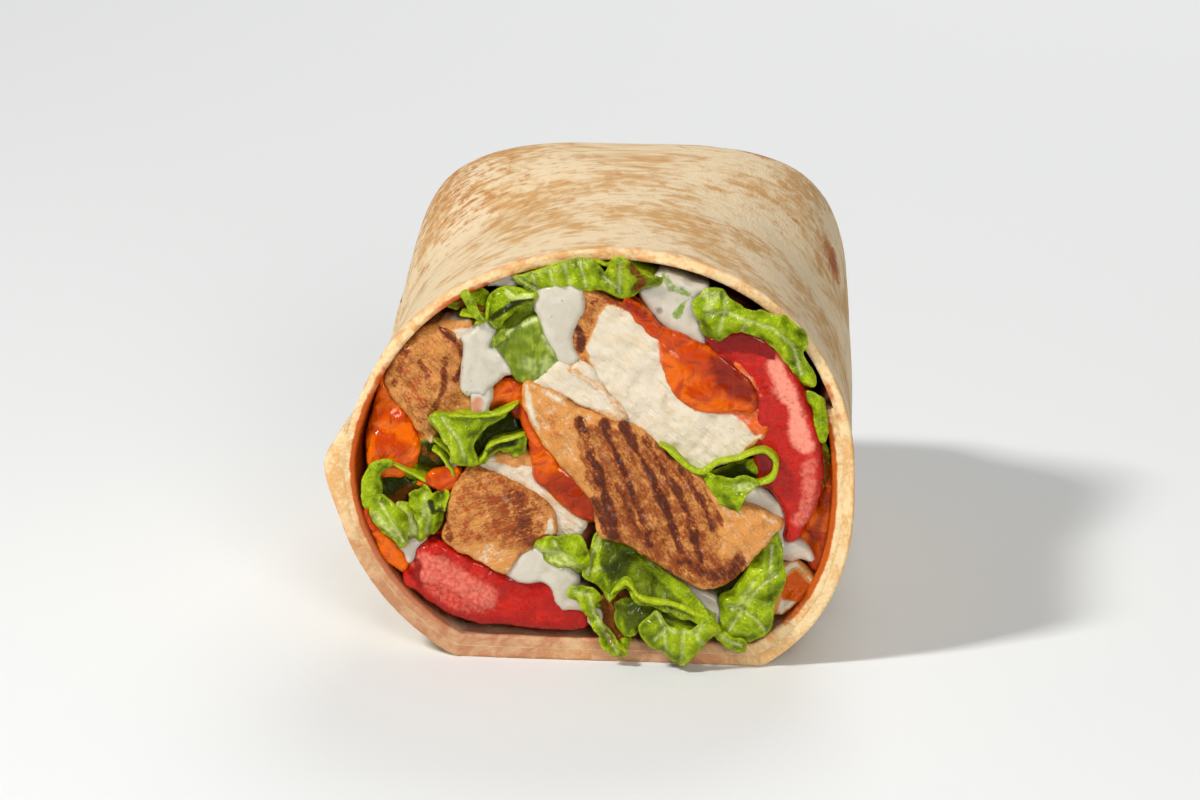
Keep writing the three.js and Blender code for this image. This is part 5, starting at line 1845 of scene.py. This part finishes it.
    lettuce_base: Parts = (
        Leaf(
            [(24.8, 20.8), (26.0, 18.8), (26.4, 15.7), (26.7, 12.6), (25.5, 10.2), (24.9, 6.9), (24.3, 5.1),
             (21.9, 3.8), (19.6, 4.1), (17.8, 5.1), (18.1, 6.9), (17.7, 9.5), (19.3, 10.8), (21.3, 13.2),
             (22.7, 16.3), (23.7, 19.0)],
            front=-2.0, ruffle=(0.8, 3.4), tilt=(-0.06, 0.0), seed=81, curl=0.6,
            ribs=([(25.7, 13.9), (23.0, 11.5), (21.0, 8.4), (18.9, 5.1)],
                [(22.6, 12.7), (21.0, 10.0), (19.4, 8.1)], [(21.0, 8.4), (23.0, 6.9), (23.9, 5.4)],
                [(25.2, 17.8), (24.8, 13.9), (25.7, 13.9)], [(18.9, 8.8), (21.0, 8.4)]),
            marks=(
                Mark("dark", [(23.0, 11.2), (24.5, 12.7), (24.8, 9.7)], 0.8, 0.45, 0.6),
                Mark("pale", [(18.4, 6.6), (20.1, 5.1), (21.9, 4.5)], 0.5, 0.4, 0.4))),
        Leaf(
            [(17.3, 9.5), (17.7, 11.5), (19.2, 13.4), (21.8, 16.7), (23.4, 18.9), (23.3, 16.6),
             (21.9, 13.3), (19.8, 10.6), (18.1, 9.1)],
            front=1.4, ruffle=(0.4, 2.6), seed=82,
            marks=(
                Mark("dark", [(17.3, 9.5), (17.7, 11.5), (21.8, 16.7), (23.4, 18.9), (21.9, 13.3),
                    (18.1, 9.1)], 0.8, 1.0, 0.2, True),)))
    lettuce_curl: Parts = (
        Frill(
            [(9.3, 32.1), (11.1, 30.9), (12.5, 29.4), (14.3, 28.0), (15.6, 28.0), (17.2, 29.2),
             (20.1, 30.1), (21.9, 30.9), (23.9, 31.5), (25.3, 30.4), (25.5, 29.1), (24.8, 27.5),
             (23.2, 26.7), (21.6, 26.3)],
            front=-3.2, back=6.0, width=0.75, wave=(0.25, 4.0), seed=84),
        Leaf(
            [(15.5, 27.8), (17.2, 27.5), (19.2, 27.0), (21.0, 27.4), (23.0, 26.9), (21.6, 25.6),
             (20.7, 24.0), (19.6, 22.2), (18.1, 23.5), (17.0, 25.2)],
            front=-3.0, ruffle=(0.7, 2.4), seed=85, curl=0.4,
            marks=(
                Mark("dark", [(18.4, 24.7), (19.2, 23.5)], 0.7, 0.6, 0.5),
                Mark("pale", [(20.1, 26.2), (21.9, 26.2)], 0.7, 0.7, 0.5))),
        Leaf(
            [(16.3, 27.8), (18.7, 28.9), (21.0, 29.8), (23.3, 30.1), (24.5, 29.2), (23.9, 27.7),
             (21.3, 27.1), (18.9, 26.7)],
            front=-0.6, ruffle=(0.3, 2.4), seed=86,
            marks=(
                Mark("dark", [(16.3, 27.8), (21.0, 29.8), (23.9, 27.7),
                    (18.9, 26.7)], 0.8, 1.0, 0.2, True),)))

    def build(self, maker: Maker) -> None:
        """Makes one piece of each group of leaves."""
        green = FreshLeaf().material()
        for node, parts in vars(self).items():
            solids = [part.build().roughen(0.06, 1.4, part.seed + 90, 2) for part in parts]
            maker.add(f"{node}_leaf", solids[0].joined(solids[1:]), green, Slot.LETTUCE, [node])


@dataclass(frozen=True)
class BuffaloSauce:
    """The pools and runs of hot sauce; each field stands for the CAD node of its name."""

    buffalo_left: Parts = (
        Slab(
            [(-29.8, 41.5), (-29.2, 39.5), (-28.1, 37.6), (-26.3, 35.3), (-24.9, 32.9), (-23.6, 31.1),
             (-24.0, 29.7), (-25.3, 28.1), (-26.9, 26.2), (-28.9, 26.2), (-30.7, 26.5), (-31.9, 27.6),
             (-32.1, 30.2), (-31.7, 32.9), (-31.1, 35.3), (-30.4, 38.0)],
            front=1.6, back=12.0, edge=1.2, dome=(0.2, 2.0), lumps=(0.55, 2.6), seed=91,
            marks=(
                Mark("rust", [(-30.7, 34.8), (-28.9, 35.3), (-26.9, 34.5), (-25.6, 32.7)], 0.9, 0.8, 0.5),
                Mark("deep", [(-29.5, 41.2), (-28.2, 38.0)], 0.3, 0.5, 0.3))),
        Slab(
            [(-31.5, 31.2), (-30.7, 32.7), (-29.3, 33.8), (-27.6, 34.3), (-26.2, 33.5), (-25.2, 31.9),
             (-24.5, 30.0), (-25.2, 28.1), (-26.9, 26.2), (-28.9, 26.0), (-30.7, 26.2), (-31.8, 27.8)],
            front=0.5, back=8.0, edge=0.9, dome=(0.3, 2.4), lumps=(0.5, 2.8), seed=92, tilt=(0.0, 0.2)))
    buffalo_middle: Parts = (
        Slab(
            [(-14.7, 37.3), (-14.1, 38.8), (-12.9, 40.0), (-11.2, 40.7), (-10.0, 40.5), (-9.3, 39.4),
             (-9.2, 38.0), (-9.6, 36.7), (-8.9, 34.8), (-10.9, 35.3), (-12.1, 36.9), (-13.4, 36.7),
             (-14.5, 35.9)],
            front=0.6, back=12.0, edge=1.0, lumps=(0.3, 2.4), seed=94,
            marks=(Mark("deep", [(-14.2, 36.1), (-12.4, 36.9), (-10.6, 35.9)], 0.8, 0.9, 0.5),)),
        Slab(
            [(-9.6, 39.6), (-9.2, 38.0), (-8.8, 35.6), (-7.6, 33.7), (-6.5, 31.6), (-4.9, 29.2),
             (-3.1, 27.7), (-1.0, 25.6), (1.2, 23.5), (1.8, 21.9), (1.0, 20.6), (-0.5, 20.2), (-2.3, 20.9),
             (-4.7, 22.7), (-6.5, 24.4), (-8.3, 26.2), (-8.5, 28.4), (-9.2, 31.6), (-10.1, 34.3),
             (-10.3, 36.9)],
            front=-1.6, back=12.0, edge=1.3, dome=(0.3, 1.6), lumps=(0.5, 2.2), seed=95, tilt=(0.02, 0.02),
            marks=(
                Mark("rust", [(-7.0, 25.7), (-4.7, 24.6), (-1.8, 23.0), (0.5, 21.4)], 1.9, 0.8, 0.6),
                Mark("deep", [(-4.7, 26.0), (-2.3, 23.8), (0.6, 21.4)], 1.7, 0.7, 0.8))))
    buffalo_slice: Parts = (
        Slab(
            [(7.1, 49.2), (8.4, 48.6), (10.2, 48.3), (12.5, 47.5), (14.9, 46.4), (16.9, 45.6), (19.2, 44.0),
             (21.7, 41.9), (22.6, 40.1), (23.0, 38.0), (22.3, 37.1), (20.1, 37.4), (17.2, 37.1),
             (14.9, 37.3), (12.5, 38.5), (11.1, 40.3), (10.2, 42.8), (10.1, 45.4), (9.0, 47.4)],
            front=-1.6, back=2.0, edge=0.45, lumps=(0.36, 2.6), seed=97, tilt=(0.0, 0.04),
            marks=(
                Mark("rust", [(10.2, 47.4), (12.5, 45.6), (16.0, 43.1), (18.1, 41.9)], 1.5, 0.8, 0.8),
                Mark("deep", [(16.3, 45.4), (19.4, 44.0), (22.6, 40.7), (22.6, 38.3), (19.8, 38.9),
                    (17.0, 40.4)], 1.2, 0.95, 0.5, True))),
        Slab(
            [(4.7, 52.6), (6.1, 52.1), (7.6, 50.7), (9.3, 48.9), (10.2, 48.0), (9.0, 47.4), (7.1, 49.2),
             (5.8, 50.7), (4.8, 51.6)],
            front=-1.35, back=3.0, edge=0.3, lumps=(0.25, 1.2), seed=98, ragged=0.35,
            marks=(
                Mark("rust", [(4.9, 52.2), (9.6, 48.0)], 0.9, 1.0, 0.4),
                Mark("deep", [(5.2, 52.1), (7.6, 50.4)], 0.5, 0.8, 0.3))))
    buffalo_side: Parts = (
        Slab(
            [(33.8, 30.4), (34.7, 29.2), (35.0, 26.2), (34.7, 22.8), (34.1, 19.8), (33.3, 16.5),
             (32.1, 14.1), (30.9, 14.7), (30.0, 16.5), (28.9, 18.3), (30.0, 20.7), (31.5, 23.5),
             (32.4, 26.2), (33.3, 28.0)],
            front=1.4, back=12.0, edge=1.2, lumps=(0.6, 2.2), seed=101,
            marks=(
                Mark("deep", [(32.7, 25.9), (32.1, 21.3), (30.9, 17.4)], 0.8, 0.7, 0.8),
                Mark("rust", [(34.4, 28.9), (34.4, 22.8), (33.0, 16.5)], 0.8, 0.5, 0.4))),)
    WALL_SMEAR: ClassVar[Slab] = Slab(
        [(-32.8, 20.5), (-31.8, 22.1), (-31.4, 20.0), (-29.9, 18.0), (-28.1, 16.7), (-27.1, 14.3),
         (-26.3, 12.9), (-27.1, 12.1), (-28.4, 12.9), (-29.7, 13.8), (-30.9, 16.5), (-32.2, 18.8)],
        front=0.4, back=8.0, edge=0.9, lumps=(0.2, 2.4), seed=103,
        marks=(Mark("rust", [(-31.8, 21.8), (-31.0, 18.9)], 0.6, 0.7, 0.4),))
    SAUCED_SHRED: ClassVar[Slab] = Slab(
        [(-24.9, 25.0), (-23.8, 25.9), (-22.7, 26.7), (-20.2, 27.3), (-19.0, 26.9), (-19.5, 25.3),
         (-21.1, 24.2), (-22.3, 24.5), (-23.8, 25.0)],
        front=-0.2, back=6.0, edge=0.5, lumps=(0.3, 1.6), seed=105,
        marks=(Mark("rust", [(-23.8, 25.3), (-20.2, 26.7)], 0.5, 0.5, 0.5),))

    def build(self, maker: Maker) -> None:
        """Makes the pools, the smear down the wall at the lower left and a shred of meat in sauce."""
        sauce = HotSauce().material()
        for node, parts in vars(self).items():
            solids = [part.build() for part in parts]
            maker.add(f"{node}_sauce", solids[0].joined(solids[1:]), sauce, Slot.BUFFALO, [node])
        maker.add("wall_smear_sauce", self.WALL_SMEAR.build(), sauce, Slot.BUFFALO)
        maker.add("sauced_shred", self.SAUCED_SHRED.build(), sauce, Slot.BUFFALO)


@dataclass(frozen=True)
class Ranch:
    """The dressing: blobs between the pieces, the run beside the tomato, and the mass behind.

    Attributes:
        blobs: the blobs that show in the cut.
        side: the run of dressing beside the tomato.
        core_depth: depth of the front of the mass behind the other pieces.
        core_inset: how far inside the tortilla's skin it stays.
        core_rise: how far it is moved up.
        core_columns: number of points of its outline.
    """

    blobs: Parts = (
        Slab(
            [(-7.9, 52.0), (-7.3, 53.4), (-5.8, 54.2), (-3.4, 54.5), (-1.7, 53.9), (-1.1, 52.2),
             (-1.4, 50.5), (-2.5, 48.5), (-2.8, 46.7), (-2.5, 44.9), (-1.9, 43.8), (-3.0, 43.0),
             (-4.4, 43.2), (-5.0, 44.0), (-5.7, 45.7), (-6.6, 47.5), (-7.3, 49.5), (-7.8, 50.7)],
            front=-1.7, back=12.0, edge=1.0, dome=(0.0, 2.0), lumps=(0.25, 2.6), seed=111),
        Slab(
            [(-15.1, 49.2), (-14.3, 48.3), (-13.5, 47.6), (-13.7, 46.3), (-14.3, 45.2), (-13.4, 45.0),
             (-12.3, 44.1), (-11.2, 41.7), (-12.4, 41.2), (-13.4, 40.4), (-14.4, 39.3), (-15.3, 38.0),
             (-16.0, 38.3), (-17.1, 38.1), (-17.9, 38.1), (-18.5, 39.0), (-18.4, 41.2), (-18.1, 43.8),
             (-18.0, 45.5), (-18.3, 46.5), (-17.0, 47.4), (-16.0, 48.5)],
            front=-0.5, back=12.0, edge=1.2, lumps=(0.3, 2.2), seed=112),
        Slab(
            [(-17.3, 39.4), (-16.2, 40.3), (-14.7, 39.8), (-14.2, 38.2), (-14.8, 36.4), (-15.1, 34.8),
             (-16.0, 34.2), (-16.8, 35.1), (-17.0, 37.2)],
            front=-0.4, back=8.0, edge=0.8, lumps=(0.15, 2.0), seed=113,
            marks=(Mark("sauce", [(-16.2, 37.2), (-16.0, 34.6)], 0.9, 0.6, 0.7),)),
        Slab(
            [(7.0, 53.6), (8.4, 54.4), (9.0, 55.6), (9.7, 56.5), (11.4, 56.2), (14.3, 55.0), (16.3, 54.6),
             (15.3, 53.4), (14.8, 52.5), (15.1, 50.1), (16.1, 46.4), (14.3, 46.9), (11.4, 48.2),
             (9.0, 50.4)],
            front=0.2, back=12.0, edge=1.1, lumps=(0.3, 2.4), seed=114,
            marks=(
                Mark("herb", [(10.2, 56.6), (11.4, 54.6), (13.7, 53.7)], 0.5, 0.6, 0.6),
                Mark("herb", [(12.1, 50.7), (13.1, 52.5), (14.3, 53.4)], 0.35, 0.7, 0.5),
                Mark("dark", [(9.6, 51.5), (9.7, 51.3)], 0.3, 0.6, 0.3))),
        Slab(
            [(-12.4, 12.4), (-11.1, 14.3), (-9.6, 16.0), (-8.3, 16.5), (-6.7, 15.0), (-4.3, 13.7),
             (-3.1, 12.8), (-2.3, 11.4), (-2.8, 10.5), (-1.3, 9.5), (-0.5, 7.6), (0.8, 7.0), (1.2, 5.6),
             (0.3, 4.6), (-0.8, 5.5), (-1.1, 7.0), (-3.1, 7.3), (-4.4, 7.2), (-5.5, 8.5), (-6.2, 10.5),
             (-7.6, 11.2), (-10.1, 11.1), (-11.6, 11.6)],
            front=-1.5, back=10.0, edge=1.1, dome=(0.0, 2.0), lumps=(0.2, 2.4), seed=115),
        Slab(
            [(-28.3, 16.6), (-26.8, 16.2), (-24.8, 17.4), (-23.9, 17.0), (-24.8, 15.9), (-25.5, 14.3),
             (-26.3, 13.4), (-27.1, 15.0)],
            front=0.4, back=10.0, edge=0.8, lumps=(0.2, 2.0), seed=116,
            marks=(Mark("sauce", [(-28.2, 16.5), (-24.0, 17.0)], 0.8, 0.35, 0.4),)),
        Slab(
            [(10.3, 13.4), (12.0, 12.8), (14.3, 11.3), (17.0, 9.7), (17.8, 8.4), (18.7, 6.6), (18.3, 5.4),
             (17.6, 4.9), (16.8, 6.6), (15.4, 8.7), (12.8, 10.8)],
            front=-0.4, back=8.0, edge=0.6, lumps=(0.2, 1.8), seed=117),
        Slab(
            [(-14.6, 54.3), (-13.8, 55.0), (-12.9, 55.5), (-11.3, 55.5), (-10.4, 54.5), (-11.8, 54.2),
             (-13.4, 54.3)],
            front=0.8, back=8.0, edge=0.5, lumps=(0.1, 2.0), seed=118),
        Slab(
            [(-20.5, 28.3), (-19.8, 28.5), (-19.4, 27.9), (-19.8, 27.1), (-20.3, 27.3)],
            front=0.4, back=4.0, edge=0.3, seed=119, step=0.2))
    side: Slab = Slab(
        [(21.3, 25.1), (23.0, 26.3), (25.4, 24.4), (26.6, 23.2), (26.9, 20.9), (26.9, 18.2), (28.1, 18.4),
         (30.0, 17.5), (30.9, 15.6), (29.3, 16.0), (27.7, 15.6), (26.2, 16.2), (25.7, 18.7), (24.8, 20.7),
         (24.8, 22.0), (23.0, 22.7), (21.0, 23.1)],
        front=-0.6, back=14.0, edge=0.9, lumps=(0.25, 2.0), seed=123,
        marks=(Mark("sauce", [(27.7, 16.3), (30.0, 16.6)], 0.8, 0.4, 0.5),))
    core_depth: float = 5.0
    core_inset: float = 4.2
    core_rise: float = 0.4
    core_columns: int = 90

    def core(self, roll: Roll) -> Slab:
        """Gives the mass behind the other pieces, painted dark all over as shade for the gaps between them,
        and tinted by the hot sauce.
        """
        count = self.core_columns
        angle = np.linspace(0, 2 * np.pi, count, endpoint=False)
        skin = roll.section(angle, np.full(count, self.core_depth), np.full(count, self.core_inset))
        outline = [(float(x), float(z) + self.core_rise) for x, _, z in skin]
        everywhere = [(-60, -20), (60, -20), (60, 80), (-60, 80)]
        return Slab(
            outline,
            front=self.core_depth, back=45.0, edge=2.0, lumps=(1.6, 5.0), step=0.7, seed=131, shrink=0.0,
            marks=(
                # Painted shade: dark all over, as it shows only in the gaps.
                Mark("dark", everywhere, 4.0, 0.72, 3.0, True),
                Mark("sauce", everywhere, 4.0, 0.85, 6.0, True)))

    def build(self, maker: Maker, roll: Roll) -> None:
        """Makes the dressing's pieces."""
        cream = CreamSauce().material()
        maker.add("dressing_core", self.core(roll).build(), cream, Slot.RANCH, ["ranch_dressing"])
        maker.add("dressing_side", self.side.build(), cream, Slot.RANCH, ["ranch_side"])
        solids = [blob.build() for blob in self.blobs]
        maker.add("dressing_blobs", solids[0].joined(solids[1:]), cream, Slot.RANCH)


# ------------------------------------------------------------------ studio


@dataclass(frozen=True)
class Studio:
    """Floor, light and camera.

    Attributes:
        photo: size of the whole photograph in pixels.
        aim: pixel of it at which the camera points.
        focal: focal length in pixels of it.
        shown: width in pixels of the part of it that the render shows.
        sensor: width of the camera's sensor, in millimetres.
        sky: strength of the even light from all round.
        ground: half the side of the floor, in metres.
    """

    photo: tuple[int, int] = (1200, 800)
    aim: tuple[float, float] = (500.0, 410.0)
    focal: float = 3200.0
    shown: float = 480.0
    sensor: float = 36.0
    sky: float = 0.16
    ground: float = 3.0

    def camera(self, maker: Maker) -> None:
        """Places the camera where the photograph was taken from, looking at the wrap."""
        level = math.cos(PITCH)
        ahead = np.array([-math.sin(YAW) * level, math.cos(YAW) * level, -math.sin(PITCH)])
        right = np.array([math.cos(YAW), math.sin(YAW), 0.0])
        up = np.cross(right, ahead)
        across = (self.aim[0] - 0.5 * self.photo[0]) / self.focal
        over = (0.5 * self.photo[1] - self.aim[1]) / self.focal
        look = ahead + across * right + over * up
        look /= np.linalg.norm(look)
        side = right - (right @ look) * look
        side /= np.linalg.norm(side)
        top = np.cross(side, look)
        data = bpy.data.cameras.new("camera")
        data.sensor_width = self.sensor
        data.lens = self.sensor * self.focal / self.shown * math.sqrt(1 + across**2 + over**2)
        data.clip_start, data.clip_end = 0.05, 20.0
        camera = bpy.data.objects.new("camera", data)
        bpy.context.scene.collection.objects.link(camera)
        turned = Matrix([[side[k], top[k], -look[k]] for k in range(3)]).to_4x4()
        camera.matrix_world = Matrix.Translation(Vector((EYE + maker.origin) / 1000.0)) @ turned
        bpy.context.scene.camera = camera

    def lamp(
        self,
        name: str,
        place: Place,
        power: float,
        size: float,
        tone: Colour,
        aim: Place = (0.0, -0.02, 0.03),
    ) -> None:
        """Adds a square lamp.

        Args:
            name: its name.
            place: where it hangs, in metres.
            power: in watts.
            size: length of its side in metres.
            tone: its colour.
            aim: the place at which it points, the wrap unless another is given.
        """
        data = bpy.data.lights.new(name, "AREA")
        data.energy, data.size, data.color = power, size, tone[:3]
        lamp = bpy.data.objects.new(name, data)
        bpy.context.scene.collection.objects.link(lamp)
        lamp.location = place
        lamp.rotation_euler = (Vector(aim) - Vector(place)).to_track_quat("-Z", "Y").to_euler()

    def floor(self) -> None:
        """Lays the floor."""
        mesh = bpy.data.meshes.new("floor")
        half = self.ground
        corners = [(-half, -half, 0), (half, -half, 0), (half, half, 0), (-half, half, 0)]
        mesh.from_pydata(corners, [], [(0, 1, 2, 3)])
        mesh.materials.append(PaleGround().material())
        floor = bpy.data.objects.new("floor", mesh)
        bpy.context.scene.collection.objects.link(floor)

    def build(self, maker: Maker) -> None:
        """Sets up floor, light, camera and view."""
        self.floor()
        self.camera(maker)
        self.lamp("key", (-0.5, -0.5, 0.75), 7.6, 0.14, srgb(255, 254, 252))
        self.lamp("fill", (0.35, -1.0, 0.45), 4.8, 0.3, srgb(255, 255, 254))
        self.lamp("rear", (0.1, 0.75, 0.6), 3.0, 0.5, srgb(255, 255, 254), (0.1, 0.4, 0.0))
        world = bpy.data.worlds.new("world")
        world.use_nodes = True
        light = world.node_tree.nodes["Background"].inputs
        light["Color"].default_value = (1.0, 1.0, 1.0, 1.0)
        light["Strength"].default_value = self.sky
        scene = bpy.context.scene
        scene.world = world
        scene.view_settings.view_transform = "Standard"
        scene.view_settings.look = "None"


def main() -> None:
    """Builds every piece and the studio round them."""
    logging.basicConfig(level=logging.INFO, format="%(message)s")
    low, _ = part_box("tortilla")
    tortilla = Tortilla()
    left = tortilla.roll.half_width + tortilla.corner_height
    maker = Maker(np.array([low.x * 1000 + left, low.y * 1000, low.z * 1000]), tortilla.roll)
    tortilla.build(maker)
    Chicken().build(maker)
    Tomatoes().build(maker)
    Celery().build(maker)
    Lettuce().build(maker)
    BuffaloSauce().build(maker)
    Ranch().build(maker, tortilla.roll)
    Studio().build(maker)
    LOG.info("%d pieces in all", maker.count)


if __name__ == "__main__":
    main()
